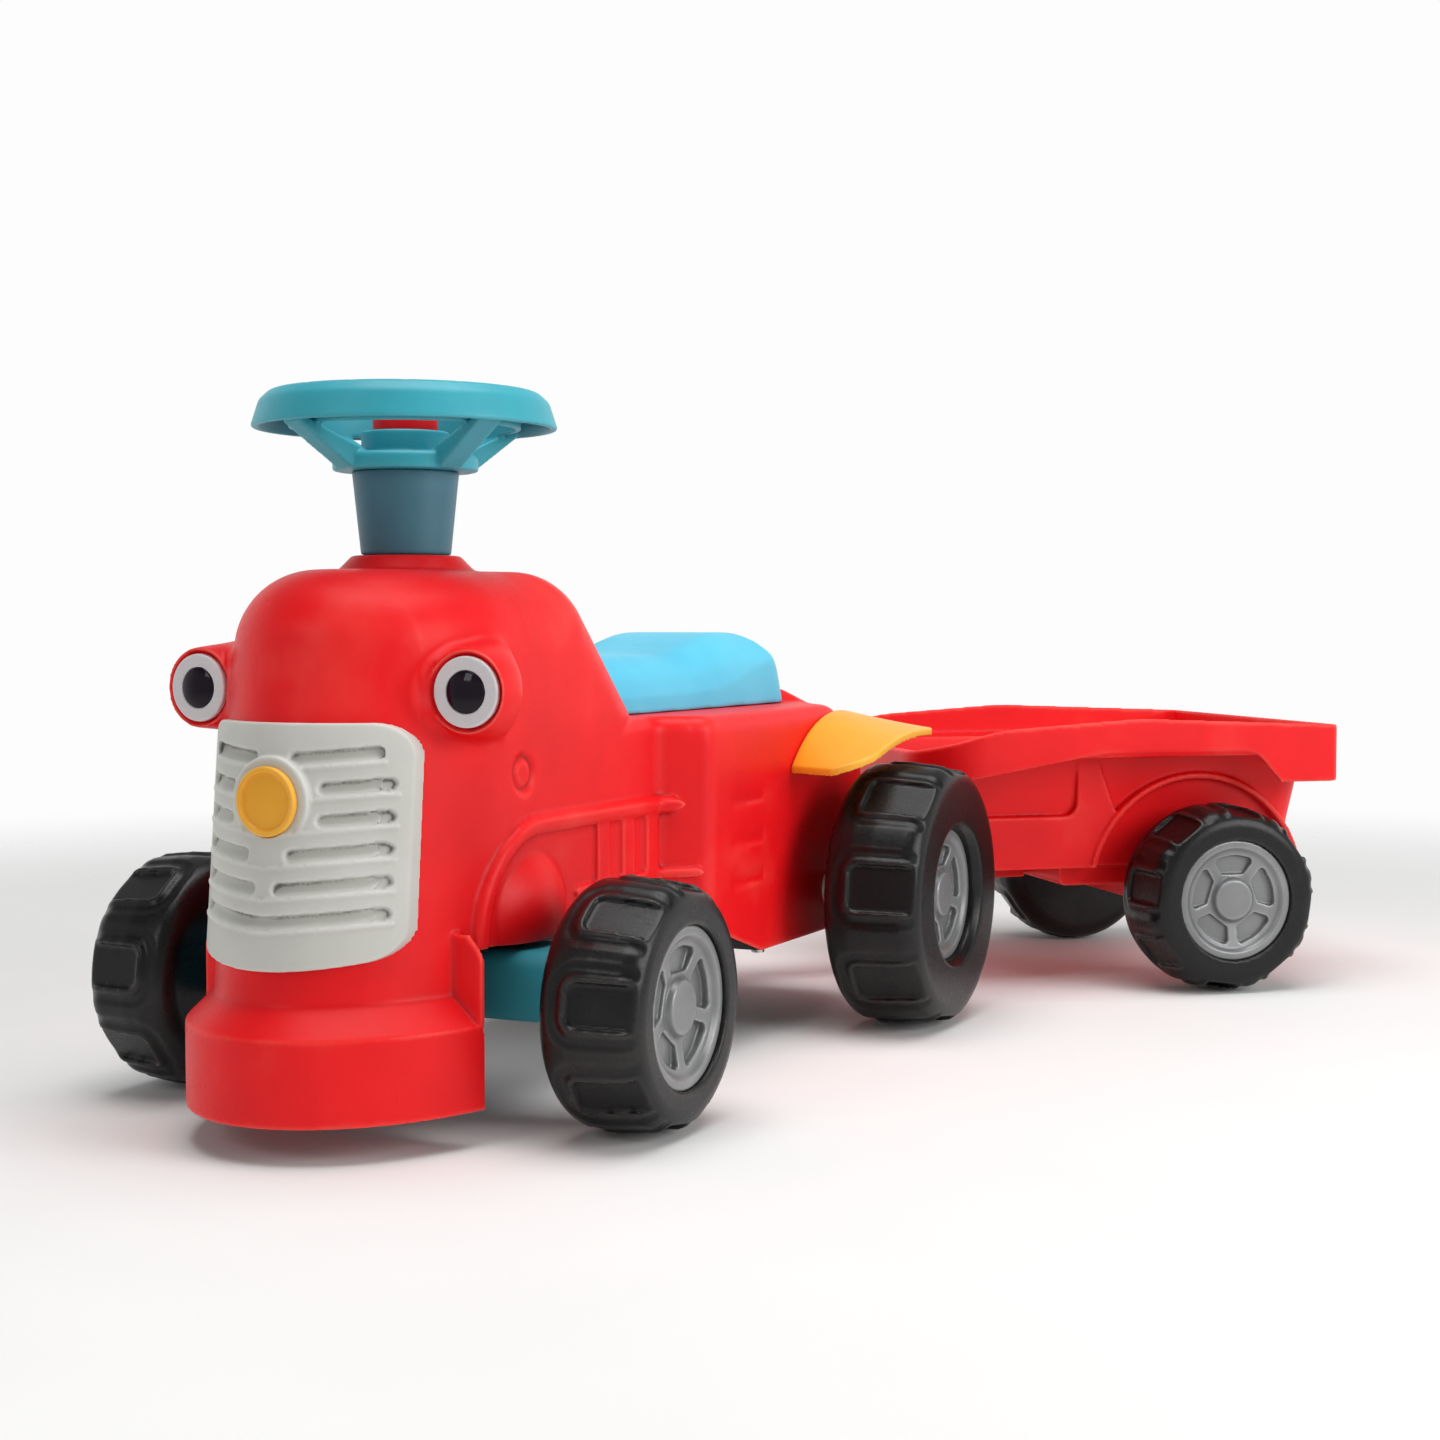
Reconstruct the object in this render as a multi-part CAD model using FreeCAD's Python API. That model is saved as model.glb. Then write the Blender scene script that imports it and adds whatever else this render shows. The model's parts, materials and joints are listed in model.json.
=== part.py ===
import FreeCAD, Part
import math
import os

V = FreeCAD.Vector

# A toddler's ride-on tractor that pulls a two-wheeled tub trailer. Millimetres, +Z up.
# The tractor faces -Y and its left side is +X. While it is drawn, the steering column stands
# on X = 0, Y = 0 and the floor is Z = 0. The last step moves the origin to the middle of the
# whole footprint. At rest the trailer is swung round on its hitch towards +X.

# Running gear
FRONT_WHEEL_DIA = 130.0        # the trailer's wheels are the same
FRONT_WHEEL_WIDTH = 57.0
REAR_WHEEL_DIA = 168.0
REAR_WHEEL_WIDTH = 63.0
FRONT_TRACK = 336.0            # over the outer faces of the wheels
REAR_TRACK = 380.0
TRAILER_TRACK = 317.0
WHEELBASE = 340.0
AXLE_DIA = 8.0
RUNNING_FIT = 0.05             # radial clearance of a shaft that turns in a bore
SIDE_PLAY = 0.4                # gap beside a wheel and at other running faces
SEAT_GAP = 0.1                 # gap between pieces that are fixed together
PAST = 1.0                     # how far a cutting shape runs past the face that it cuts

# Wheel mouldings
WHEEL_WALL = 4.0
TREAD_WALL = 6.0
SHOULDER_DROP = 3.0
SHOULDER_ROUND = 13.0
SIDEWALL_DISH = 0.4
TREAD_POCKETS = 8
TREAD_BAND = 19.0              # plain tread between the inner face and the pockets
POCKET_SPAN = 20.0             # degrees
POCKET_DEPTH = 2.8
POCKET_FALL = 5.0              # how much deeper a pocket is at the outer shoulder
POCKET_ROUND = 5.0
FRONT_HUB_RECESS = 3.0
REAR_HUB_RECESS = 8.0
HUB_MARGIN = 23.5              # from the hub cap's edge to the outside of a front wheel
HUB_LIP = 5.0
HUB_LIP_RISE = 2.5
HUB_LIP_ROUND = 1.2
HUB_DISH = 3.0
HUB_THICKNESS = 4.5
HUB_SPOKES = 5
HUB_SPOKE_WIDTH = 9.0
HUB_POCKET_DEPTH = 2.2
HUB_POCKET_ROUND = 3.0
HUB_POCKET_BOW = 3.5           # how far a pocket's outer edge bows out
HUB_BOSS_DIA = 27.0
HUB_BOSS_RISE = 4.0
HUB_BOSS_ROUND = 1.4
WHEEL_TUBE_DIA = 20.0
NUT_DIA = 18.0
NUT_CROWN_DIA = 12.0
NUT_THICKNESS = 2.0
AXLE_STUB = 1.0                # axle left outside its push nut
NUT_ROOM = 6.0                 # from the back of a hub cap to the end of the wheel's tube
SPACER_DIA = 18.0

# Bonnet and bumper
WALL = 3.0
BODY_HALF_WIDTH = 75.0
NOSE_LOW = 136.0               # how far the nose reaches ahead of the column, at the bottom
NOSE_BROW = 110.0
NOSE_TOP = 97.0
NOSE_STRAIGHT = 15.0           # straight side ahead of the column, before the nose rounds
BROW_HEIGHT = 205.0
BONNET_RISE = 79.0             # from the brow to the top
BONNET_TOP_ROUND = 42.0
BONNET_TOP_NARROWING = 2.0
BONNET_REAR = 151.0
BONNET_REAR_LEAN = 77.0        # how far the rear leans forward between brow and top
BONNET_REAR_CORNER = 56.0
BUMPER_BOTTOM = 18.0
BUMPER_HEIGHT = 42.0
BUMPER_RIDGE_RISE = 14.0
BUMPER_SIDE_STEP = 15.0
BUMPER_NOSE_STEP = 6.0
BUMPER_REAR = -60.0
AXLE_SPACE_RISE = 29.0         # room above the front axle
AXLE_SPACE_BEHIND = 53.0       # room behind the front wheels
COLLAR_FLARE = 15.5
COLLAR_EDGE = 9.5             # how much wider the collar's top is than the column's foot
COLLAR_HEIGHT = 8.0

# Seat body
SEAT_BODY_STEP = 25.0          # how much wider than the bonnet, on each side
WAIST_OVERLAP = 9.0            # how far the bonnet's rear edge reaches past the waist
WAIST_STEP = 22.0
WAIST_ROUND = 12.0
BODY_OVERHANG = 90.0           # behind the rear axle
BODY_REAR_CORNER = 42.0
BODY_BOTTOM = 57.0
BODY_FLOOR_AHEAD = 105.0       # flat bottom ahead of the rear axle
DECK_ABOVE_WHEEL = 35.0
HUMP_RISE = 9.0
HUMP_LENGTH = 12.0
HUMP_BEHIND_SEAT = 10.0
BODY_REAR_DROP = 24.0
HUMP_ROUND = 18.0
DECK_ROUND = 9.0
HIP_START = 4.0                # behind the rear axle, where the hips leave the deck's edge
HIP_SIDE_FALL = 0.56           # fall of a hip per millimetre outwards
HIP_REAR_FALL = 0.47           # and per millimetre backwards
BODY_START = 40.0

# Lamp pods and relief on the body sides
POD_STANDOUT = 5.4
POD_SETBACK = 39.9
POD_ABOVE_BROW = 18.6
POD_TOE_OUT = 3.5              # degrees
POD_RIM = 3.0                  # pod left round the lamp
POD_FLARE = 7.0
POD_LENGTH = 48.0
POD_REAR_ROUND = 12.0
LAMP_DIA = 35.0
LAMP_THICKNESS = 3.5
LAMP_SEAT_DEPTH = 2.0
LAMP_EDGE_ROUND = 0.8
LENS_DIA = 21.0
LENS_RISE = 2.2
LENS_SEAT_DEPTH = 1.5
END_SHARE = 0.9                # share of a bar's half width that its end corners are rounded by
RAIL_WIDTH = 9.0
RAIL_RISE = 2.5
RAIL_CREST_WIDTH = 5.0
RAIL_CREST_RISE = 4.0
RAIL_FRONT = -46.0
RAIL_FOOT_LIFT = 0.5
RAIL_CLIMB = 58.0
RAIL_BEND = 54.0
RAIL_PAST_WAIST = 7.0
LOW_RAIL_WIDTH = 5.0
LOW_RAIL_LIFT = 19.0
LOW_RAIL_FRONT = 45.0
LOW_RAIL_PAST = 9.0            # how far it runs on behind the upper rail
STRIP_REACH = 84.0             # flange in front of the wheel, from the middle
STRIP_FOOT = 60.0              # its inner edge, buried in the nose
STRIP_THICKNESS = 3.5
STRIP_HEIGHT = 10.0            # above the axle space
STRIP_LEAN = 8.0              # how far its top leans in towards the rail
FIN_COUNT = 3
FIN_PITCH = 29.0
FIN_WIDTH = 14.0
FIN_RISE = 2.6
FIN_END_GAP = 16.0
BOSS_Y = 2.0
BOSS_LIFT = 11.0
BOSS_RADIUS = 54.0
BOSS_RISE = 12.0
DIMPLE_DIA = 17.0
DIMPLE_Y = -6.0
DIMPLE_DROP = 25.0
DIMPLE_DEPTH = 1.3
LOUVRE_COUNT = 3
LOUVRE_PITCH = 24.0
LOUVRE_LENGTH = 46.0
LOUVRE_HEIGHT = 10.0
LOUVRE_DEPTH = 1.6
LOUVRE_BEHIND_WAIST = 50.0
LOUVRE_DROP = 45.0

# Grille and badge
GRILLE_ABOVE_BROW = 4.0
GRILLE_ABOVE_RIDGE = 13.0
GRILLE_SMILE = 10.0            # how much lower the bottom edge is in the middle
GRILLE_SIDE_MARGIN = 15.5
GRILLE_ROUND = 16.0
GRILLE_SWEEP = 270.0           # radius of the lower edge
GRILLE_THICKNESS = 5.0
GRILLE_SEAT = 0.2
SLOT_DEPTH = 3.0
SLOT_HEIGHT = 6.5
SLOT_PITCH = 15.5
SLOT_COUNT = 6
SLOT_TOP_MARGIN = 14.0
SLOT_END_MARGIN = 10.0
SLOT_SMILE = 4.0
CENTRE_BAR = 10.0
BADGE_DIA = 34.0
BADGE_DROP = 37.5              # from the grille's top to the badge's centre
BADGE_THICKNESS = 4.0
BADGE_RIM = 3.0
BADGE_RIM_ROUND = 0.7
BADGE_DISH = 2.0
BADGE_DOME = 1.0
BADGE_MARGIN = 5.0
BADGE_PEG_DIA = 8.0
BADGE_PEG_LENGTH = 3.0

# Steering
COLUMN_RISE = 44.0
COLUMN_FOOT_DIA = 47.0
COLUMN_FLARE = 9.0
COLUMN_STEP = 4.0              # from the column's foot in to its journal
COLUMN_WALL = 4.0
COLUMN_WEB_DROP = 20.0
COLUMN_WEB = 5.0
BUSH_WALL = 3.0
BUSH_FLANGE = 4.0
BUSH_FLANGE_THICKNESS = 2.0
LOWER_BUSH_LENGTH = 16.0
AXLE_BUSH_LENGTH = 9.0
CARRIER_GAP = 3.2              # between the carrier and the underbody, for the screw heads
CARRIER_BELOW_AXLE = 11.0
CARRIER_DEPTH = 50.0
CARRIER_WALL = 5.0
CARRIER_ROUND = 8.0
CARRIER_BOSS_WALL = 6.0
CARRIER_SOCKET = 20.0
CARRIER_PIN_DIA = 6.0
RIM_DIA = 160.0
RIM_ABOVE_COLUMN = 22.0
RIM_HEIGHT = 20.0
RIM_WIDTH = 23.0
RIM_CROWN = 11.0               # from the rim's outside in to its highest line
RIM_SHOULDER = 4.5             # how far the outside has leaned in where the crown starts
RIM_WALL = 3.5
RIM_ROUND = 6.0
RIM_EDGE_ROUND = 1.0
RIM_INNER_DROP = 3.0
GRIP_COUNT = 16
GRIP_DEPTH = 0.9
GRIP_RADIUS = 6.0
HUB_PLATE_OVERHANG = 10.0
HUB_PLATE_THICKNESS = 9.0
HUB_PLATE_ROUND = 3.0
HORN_DIA = 34.0
HORN_CUP_WALL = 6.0
HORN_CUP_LIP = 2.5
HORN_RISE = 10.0               # how far the button stands out of its cup
HORN_FLANGE = 1.5
HORN_FLANGE_THICKNESS = 2.0
HORN_CROWN_ROUND = 2.5
HORN_WALL = 2.5
HORN_TRAVEL = 6.0
HORN_REST = 1.0                # room left below the pressed button's flange
HORN_FIT = 0.3
BELLOWS_DIA = 22.0
BELLOWS_WALL = 1.5
BELLOWS_ROOM = 1.5             # round the bellows
SPOKE_COUNT = 4
SPOKE_START = -20.0            # degrees from +X
SPOKE_WIDTH = 14.5
SPOKE_THICKNESS = 5.0

# Seat
SEAT_AHEAD = 46.0              # how far the seat's nose reaches under the bonnet's rear edge
SEAT_BEHIND_AXLE = 40.0
SEAT_SIDE_MARGIN = 14.0
SEAT_NOSE_NARROWING = 9.0
SEAT_HEIGHT = 47.0
SEAT_NOSE_DROP = 12.0
SEAT_NOSE_RUN = 50.0
SEAT_CORNER = 30.0
SEAT_TOP_ROUND = 22.0
SEAT_TAIL_SLOPE = 32.0
SEAT_TAIL_ROUND = 28.0
SEAT_WALL = 4.0

# Rear fenders
FENDER_REACH = 56.0
FENDER_AHEAD = 62.0            # of the rear axle, beside the body
FENDER_SWEEP = 23.0            # how much further ahead its outer corner is
FENDER_BEHIND = 58.0
FENDER_CREST_BEHIND = 4.0
FENDER_ABOVE_WHEEL = 31.0
FENDER_FRONT_DROP = 32.0       # below the crest
FENDER_REAR_DROP = 9.0
FENDER_EDGE_DROP = 12.0        # how much lower the outer edge's crest is
FENDER_EDGE_REAR_DROP = 13.0   # how far the outer edge's rear end is below the inner crest
FENDER_THICKNESS = 5.0
FENDER_CORNER = 22.0
FENDER_FOOT_DROP = 12.0        # from the crest to the top of the foot
FENDER_FOOT_LENGTH = 50.0
FENDER_FOOT_HEIGHT = 26.0
FENDER_FOOT_THICKNESS = 6.0

# Hitch
HITCH_BEHIND = 37.0            # from the body's rear to the hitch pin
TONGUE_WIDTH = 34.0
TONGUE_THICKNESS = 7.0
TONGUE_INSIDE = 62.0
PIN_DIA = 14.0
PIN_HEAD_DIA = 21.0
PIN_HEAD_HEIGHT = 4.0
PIN_CAP_DIA = 26.0
PIN_CAP_HEIGHT = 7.0
PIN_CAP_ROUND = 3.5
PIN_EDGE_ROUND = 1.0
TRAILER_SWING = 50.0           # degrees from straight behind, towards +X

# Trailer, drawn in its own frame: hitch pin on X = 0, Y = 0, tail towards +Y
TRAILER_AXLE_Y = 291.0
DRAWBAR_WIDTH = 36.0
DRAWBAR_THICKNESS = 14.5
DRAWBAR_EYE_DIA = 40.0
TUB_FLOOR = 4.0
TUB_WALL = 3.5
TUB_WHEEL_GAP = 17.5           # from the tub's floor edge to the wheel's inner face
TUB_FRONT = 98.0
TUB_REAR_MARGIN = 14.0         # from the floor's rear edge to the tray's
TUB_DRAFT = 13.0               # how far the walls lean out between floor and shelf
TUB_CORNER = 26.0
TRAY_HALF_WIDTH = 132.0
TRAY_FRONT = 72.0
TRAY_BEHIND_AXLE = 95.0
TRAY_FRONT_CORNER = 46.0
TRAY_REAR_CORNER = 12.0
TRAY_SHELF = 163.0
TRAY_CREST_AHEAD = 61.0        # of the axle
TRAY_CREST_RISE = 27.0         # above the shelf
TRAY_FRONT_RISE = 4.0
TRAY_SHOULDER_BACK = 53.0      # from the tray's front to where its edge levels out
TRAY_SHOULDER_RISE = 20.0
TRAY_SHOULDER_ROUND = 150.0
TRAY_REAR_RISE = 21.0
TRAY_CREST_ROUND = 200.0
VALANCE_REAR_DROP = 19.0       # below the shelf
VALANCE_FRONT_DROP = 20.0
VALANCE_STEP_BEHIND = 47.0     # behind the axle
VALANCE_ARCH_RISE = 3.4
VALANCE_ARCH_BEHIND = 27.0
VALANCE_ARCH_AHEAD = 86.0
VALANCE_ROUND = 20.0
VALANCE_FRONT_ROUND = 60.0
ARCH_GAP = 15.0                # round the wheel
ARCH_LIP = 4.0
ARCH_WHEEL_GAP = 3.0           # from the arch lip to the wheel's inner face
SKIRT_SET_IN = 2.0             # from the arch lip's face
SKIRT_HEIGHT = 37.0
SKIRT_NOSE = 14.0
SKIRT_SLANT = 20.0
SKIRT_ROUND = 10.0
PILLAR_AHEAD = 85.0           # of the axle
PILLAR_WIDTH = 14.0
PILLAR_FOOT = 46.0
BLOCK_SET_IN = 4.0             # from the tub's floor edge
BLOCK_AHEAD = 99.0
BLOCK_BEHIND = 55.0
BLOCK_DEPTH = 14.0
BLOCK_WALL = 4.0
KEEL_BELOW_AXLE = 13.0
KEEL_LENGTH = 44.0
BLOCK_ROUND = 6.0

# Fasteners
SCREW_HEAD_DIA = 8.0
SCREW_HEAD_HEIGHT = 2.5
SCREW_DIA = 4.0
SCREW_LENGTH = 14.0
SCREW_TIP_COVER = 1.0          # material left beyond a blind screw's hole
SCREW_BOSS_DIA = 12.0
SCREW_BOSS_HEIGHT = 18.0
SCREW_BOSS_BITE = 1.5          # how far a boss sinks into the wall beside it
SCREW_EDGE = 10.0              # from a screw's axis to the end of the piece that it holds
PLATE_THICKNESS = 4.0
PLATE_FIT = 0.3

# Running gear that follows from these
AXLE_R = AXLE_DIA / 2
BORE_R = AXLE_R + RUNNING_FIT
FRONT_R = FRONT_WHEEL_DIA / 2
REAR_R = REAR_WHEEL_DIA / 2
HUB_R = FRONT_R - HUB_MARGIN
FRONT_INNER_FACE = FRONT_TRACK / 2 - FRONT_WHEEL_WIDTH
REAR_INNER_FACE = REAR_TRACK / 2 - REAR_WHEEL_WIDTH
TRAILER_INNER_FACE = TRAILER_TRACK / 2 - FRONT_WHEEL_WIDTH

# Body that follows from these
BONNET_TOP = BROW_HEIGHT + BONNET_RISE
BONNET_REAR_TOP = BONNET_REAR - BONNET_REAR_LEAN
BUMPER_TOP = BUMPER_BOTTOM + BUMPER_HEIGHT
BUMPER_RIDGE = BUMPER_TOP + BUMPER_RIDGE_RISE
BUMPER_HALF_WIDTH = BODY_HALF_WIDTH + BUMPER_SIDE_STEP
BUMPER_REACH = NOSE_LOW + BUMPER_NOSE_STEP
AXLE_SPACE_TOP = FRONT_R + AXLE_SPACE_RISE
AXLE_SPACE_REAR = FRONT_R + AXLE_SPACE_BEHIND
COLLAR_TOP = BONNET_TOP + COLLAR_HEIGHT
COLLAR_TOP_DIA = COLUMN_FOOT_DIA + COLLAR_EDGE
COLLAR_DIA = COLLAR_TOP_DIA + COLLAR_FLARE
SEAT_BODY_HALF_WIDTH = BODY_HALF_WIDTH + SEAT_BODY_STEP
WAIST_END = BONNET_REAR - WAIST_OVERLAP
BODY_REAR = WHEELBASE + BODY_OVERHANG
BODY_BOTTOM_FRONT = WHEELBASE - BODY_FLOOR_AHEAD
SEAT_DECK = REAR_WHEEL_DIA + DECK_ABOVE_WHEEL
SEAT_REAR = WHEELBASE + SEAT_BEHIND_AXLE
HUMP_TOP = SEAT_DECK + HUMP_RISE
HUMP_FRONT = SEAT_REAR + HUMP_BEHIND_SEAT
HUMP_REAR = HUMP_FRONT + HUMP_LENGTH
BODY_REAR_TOP = HUMP_TOP - BODY_REAR_DROP
POD_X = BODY_HALF_WIDTH + POD_STANDOUT
POD_Y = POD_SETBACK - NOSE_BROW
POD_Z = BROW_HEIGHT + POD_ABOVE_BROW
POD_DIA = LAMP_DIA + 2 * POD_RIM
RAIL_FOOT = AXLE_SPACE_TOP + RAIL_FOOT_LIFT
RAIL_HEIGHT = RAIL_FOOT + RAIL_CLIMB
RAIL_REAR = WAIST_END + RAIL_PAST_WAIST
LOW_RAIL_Z = AXLE_SPACE_TOP + LOW_RAIL_LIFT
FIN_REAR = RAIL_REAR - FIN_END_GAP
BOSS_Z = AXLE_SPACE_TOP + BOSS_LIFT
DIMPLE_Z = BROW_HEIGHT - DIMPLE_DROP
LOUVRE_FRONT = WAIST_END + LOUVRE_BEHIND_WAIST
LOUVRE_TOP = SEAT_DECK - LOUVRE_DROP
GRILLE_TOP = BROW_HEIGHT + GRILLE_ABOVE_BROW
GRILLE_BOTTOM = BUMPER_RIDGE + GRILLE_ABOVE_RIDGE
GRILLE_HALF_WIDTH = BODY_HALF_WIDTH - GRILLE_SIDE_MARGIN
SLOT_TOP = GRILLE_TOP - SLOT_TOP_MARGIN
SLOT_HALF_LENGTH = GRILLE_HALF_WIDTH - SLOT_END_MARGIN
BADGE_Z = GRILLE_TOP - BADGE_DROP

# Steering that follows from these
COLUMN_TOP = COLLAR_TOP + COLUMN_RISE
COLUMN_TOP_DIA = COLUMN_FOOT_DIA + COLUMN_FLARE
COLUMN_WEB_TOP = COLUMN_TOP - COLUMN_WEB_DROP
JOURNAL_R = COLUMN_FOOT_DIA / 2 - COLUMN_STEP
BUSH_OUTER_R = JOURNAL_R + RUNNING_FIT + BUSH_WALL
CARRIER_TOP = AXLE_SPACE_TOP - CARRIER_GAP
CARRIER_BOTTOM = FRONT_R - CARRIER_BELOW_AXLE
CARRIER_SOCKET_FLOOR = CARRIER_TOP - CARRIER_SOCKET
RIM_BOTTOM = COLUMN_TOP + RIM_ABOVE_COLUMN
RIM_TOP = RIM_BOTTOM + RIM_HEIGHT
RIM_OUTER_R = RIM_DIA / 2
RIM_INNER_R = RIM_OUTER_R - RIM_WIDTH
HUB_PLATE_R = COLUMN_TOP_DIA / 2 + HUB_PLATE_OVERHANG
HUB_PLATE_TOP = COLUMN_TOP + HUB_PLATE_THICKNESS
SPIGOT_FLOOR = COLUMN_WEB_TOP + COLUMN_WEB
HORN_FLANGE_FOOT = HUB_PLATE_TOP + HORN_REST + HORN_TRAVEL
HORN_FLANGE_TOP = HORN_FLANGE_FOOT + HORN_FLANGE_THICKNESS
HORN_CUP_TOP = HORN_FLANGE_TOP + HORN_FIT + HORN_CUP_LIP
HORN_TOP = HORN_CUP_TOP + HORN_RISE

# Seat and fenders that follow from these
SEAT_FRONT = BONNET_REAR - SEAT_AHEAD
SEAT_HALF_WIDTH = BODY_HALF_WIDTH - SEAT_SIDE_MARGIN
SEAT_NOSE_HALF_WIDTH = SEAT_HALF_WIDTH - SEAT_NOSE_NARROWING
SEAT_TOP = SEAT_DECK + SEAT_HEIGHT
FENDER_FRONT = WHEELBASE - FENDER_AHEAD
FENDER_REAR = WHEELBASE + FENDER_BEHIND
FENDER_CREST_Y = WHEELBASE + FENDER_CREST_BEHIND
FENDER_CREST = REAR_WHEEL_DIA + FENDER_ABOVE_WHEEL
FENDER_FOOT_TOP = FENDER_CREST - FENDER_FOOT_DROP

# Hitch and trailer that follow from these
HITCH_Y = BODY_REAR + HITCH_BEHIND
TONGUE_FRONT = BODY_REAR - TONGUE_INSIDE
TONGUE_BOTTOM = BODY_BOTTOM + PLATE_THICKNESS
TONGUE_TOP = TONGUE_BOTTOM + TONGUE_THICKNESS
DRAWBAR_BOTTOM = TONGUE_TOP + SIDE_PLAY
DRAWBAR_TOP = DRAWBAR_BOTTOM + DRAWBAR_THICKNESS
TUB_BOTTOM = DRAWBAR_TOP + SEAT_GAP
TUB_HALF_WIDTH = TRAILER_INNER_FACE - TUB_WHEEL_GAP
TRAY_REAR = TRAILER_AXLE_Y + TRAY_BEHIND_AXLE
TUB_REAR = TRAY_REAR - TUB_REAR_MARGIN
TRAY_CREST_Y = TRAILER_AXLE_Y - TRAY_CREST_AHEAD
ARCH_RADIUS = FRONT_R + ARCH_GAP
ARCH_REACH = TRAILER_INNER_FACE - ARCH_WHEEL_GAP
SKIRT_REACH = ARCH_REACH - SKIRT_SET_IN
SKIRT_TOP = TUB_BOTTOM + SKIRT_HEIGHT
SKIRT_FRONT = TUB_FRONT + SKIRT_NOSE
PILLAR_Y = TRAILER_AXLE_Y - PILLAR_AHEAD
BLOCK_HALF_WIDTH = TUB_HALF_WIDTH - BLOCK_SET_IN
BLOCK_FRONT = TRAILER_AXLE_Y - BLOCK_AHEAD
BLOCK_REAR = TRAILER_AXLE_Y + BLOCK_BEHIND
BLOCK_TOP = TUB_BOTTOM - SEAT_GAP
BLOCK_BOTTOM = BLOCK_TOP - BLOCK_DEPTH
KEEL_BOTTOM = FRONT_R - KEEL_BELOW_AXLE
FLOOR_SCREW_SEAT = TUB_BOTTOM + TUB_FLOOR - SCREW_TIP_COVER - SCREW_LENGTH

FAR = 1000.0
NEAR = 0.01
UP = V(0, 0, 1)
BACK = V(0, 1, 0)
OUT = V(1, 0, 0)
ORIGIN = V(0, 0, 0)


# Drawing helpers

def on_xz(y):
    return lambda u, v: V(u, y, v)


def on_xy(z):
    return lambda u, v: V(u, v, z)


def on_yz(x):
    return lambda u, v: V(x, u, v)


def outline(corners, place):
    """A closed wire through (u, v, radius) corners, each rounded by its radius."""
    count = len(corners)
    rounded = []
    for i, (u, v, radius) in enumerate(corners):
        before = corners[i - 1]
        after = corners[(i + 1) % count]
        here = V(u, v, 0)
        into = (here - V(before[0], before[1], 0)).normalize()
        away = (V(after[0], after[1], 0) - here).normalize()
        turn = into.getAngle(away)
        if radius <= 0 or turn < NEAR / 10:
            rounded.append((here, None, here))
            continue
        reach = radius * math.tan(turn / 2)
        crown = here + (away - into).normalize() * radius * (1 / math.cos(turn / 2) - 1)
        rounded.append((here - into * reach, crown, here + away * reach))
    edges = []
    for i, (start, crown, end) in enumerate(rounded):
        if crown is not None:
            edges.append(Part.Arc(*[place(p.x, p.y) for p in (start, crown, end)]).toShape())
        following = rounded[(i + 1) % count][0]
        if (following - end).Length > NEAR / 10:
            edges.append(Part.makeLine(place(end.x, end.y), place(following.x, following.y)))
    return Part.Wire(edges)


def prism(corners, place, way):
    """A rounded outline pushed along a vector."""
    return Part.Face(outline(corners, place)).extrude(way)


def turned(corners, base, axis, angle=360):
    """A solid of revolution from (along, radius, rounding) corners about an axis."""
    side = UP if abs(axis.z) < 0.5 else OUT
    wire = outline(corners, lambda u, v: base + axis * u + side * v)
    return Part.Face(wire).revolve(base, axis, angle)


def tube(outer, inner, length, base, axis):
    ring = Part.makeCylinder(outer, length, base, axis)
    return ring.cut(Part.makeCylinder(inner, length, base, axis))


def mirrored(shape):
    return shape.mirror(ORIGIN, OUT)


def pair(shape):
    """A shape on the +X side with its mirror image."""
    return [shape, mirrored(shape)]


def pairs(shapes):
    return [side for shape in shapes for side in pair(shape)]


def joined(shapes):
    return shapes[0].fuse(shapes[1:]).removeSplitter()


def edges_where(shape, test):
    """Edges whose middle point passes a test."""
    found = []
    for edge in shape.Edges:
        middle = edge.valueAt((edge.FirstParameter + edge.LastParameter) / 2)
        if test(middle):
            found.append(edge)
    return found


def screw(seat, axis):
    """A screw whose head sits on a seat; the axis points into the work."""
    shank = Part.makeCylinder(SCREW_DIA / 2, SCREW_LENGTH, seat, axis)
    head = Part.makeCylinder(SCREW_HEAD_DIA / 2, SCREW_HEAD_HEIGHT, seat - axis * SCREW_HEAD_HEIGHT, axis)
    return head.fuse(shank).removeSplitter()


def screw_hole(seat, axis):
    """Room for a screw's shank."""
    return Part.makeCylinder(SCREW_DIA / 2 + SEAT_GAP, SCREW_LENGTH + SEAT_GAP, seat, axis)


def head_hole(seat, axis):
    """Room for a screw's head, sunk in from outside."""
    return Part.makeCylinder(SCREW_HEAD_DIA / 2 + SEAT_GAP, FAR / 10, seat, axis * -1)


# Body: nose, bonnet and bumper

def nose_plan(z, half_width, reach, tail, corner):
    """A half ellipse in front of the column and straight sides behind it."""
    start = -NOSE_STRAIGHT
    ellipse = Part.Ellipse(V(0, -reach, z), V(half_width, start, z), V(0, start, z))
    front = Part.ArcOfEllipse(ellipse, -math.pi / 2, math.pi / 2).toShape()
    diagonal = corner * math.sqrt(0.5)
    cx = half_width - corner
    cy = tail - corner
    return Part.Wire([
        front,
        Part.makeLine(V(half_width, start, z), V(half_width, cy, z)),
        Part.Arc(V(half_width, cy, z), V(cx + diagonal, cy + diagonal, z), V(cx, tail, z)).toShape(),
        Part.makeLine(V(cx, tail, z), V(-cx, tail, z)),
        Part.Arc(V(-cx, tail, z), V(-cx - diagonal, cy + diagonal, z), V(-half_width, cy, z)).toShape(),
        Part.makeLine(V(-half_width, cy, z), V(-half_width, start, z)),
    ])


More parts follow.
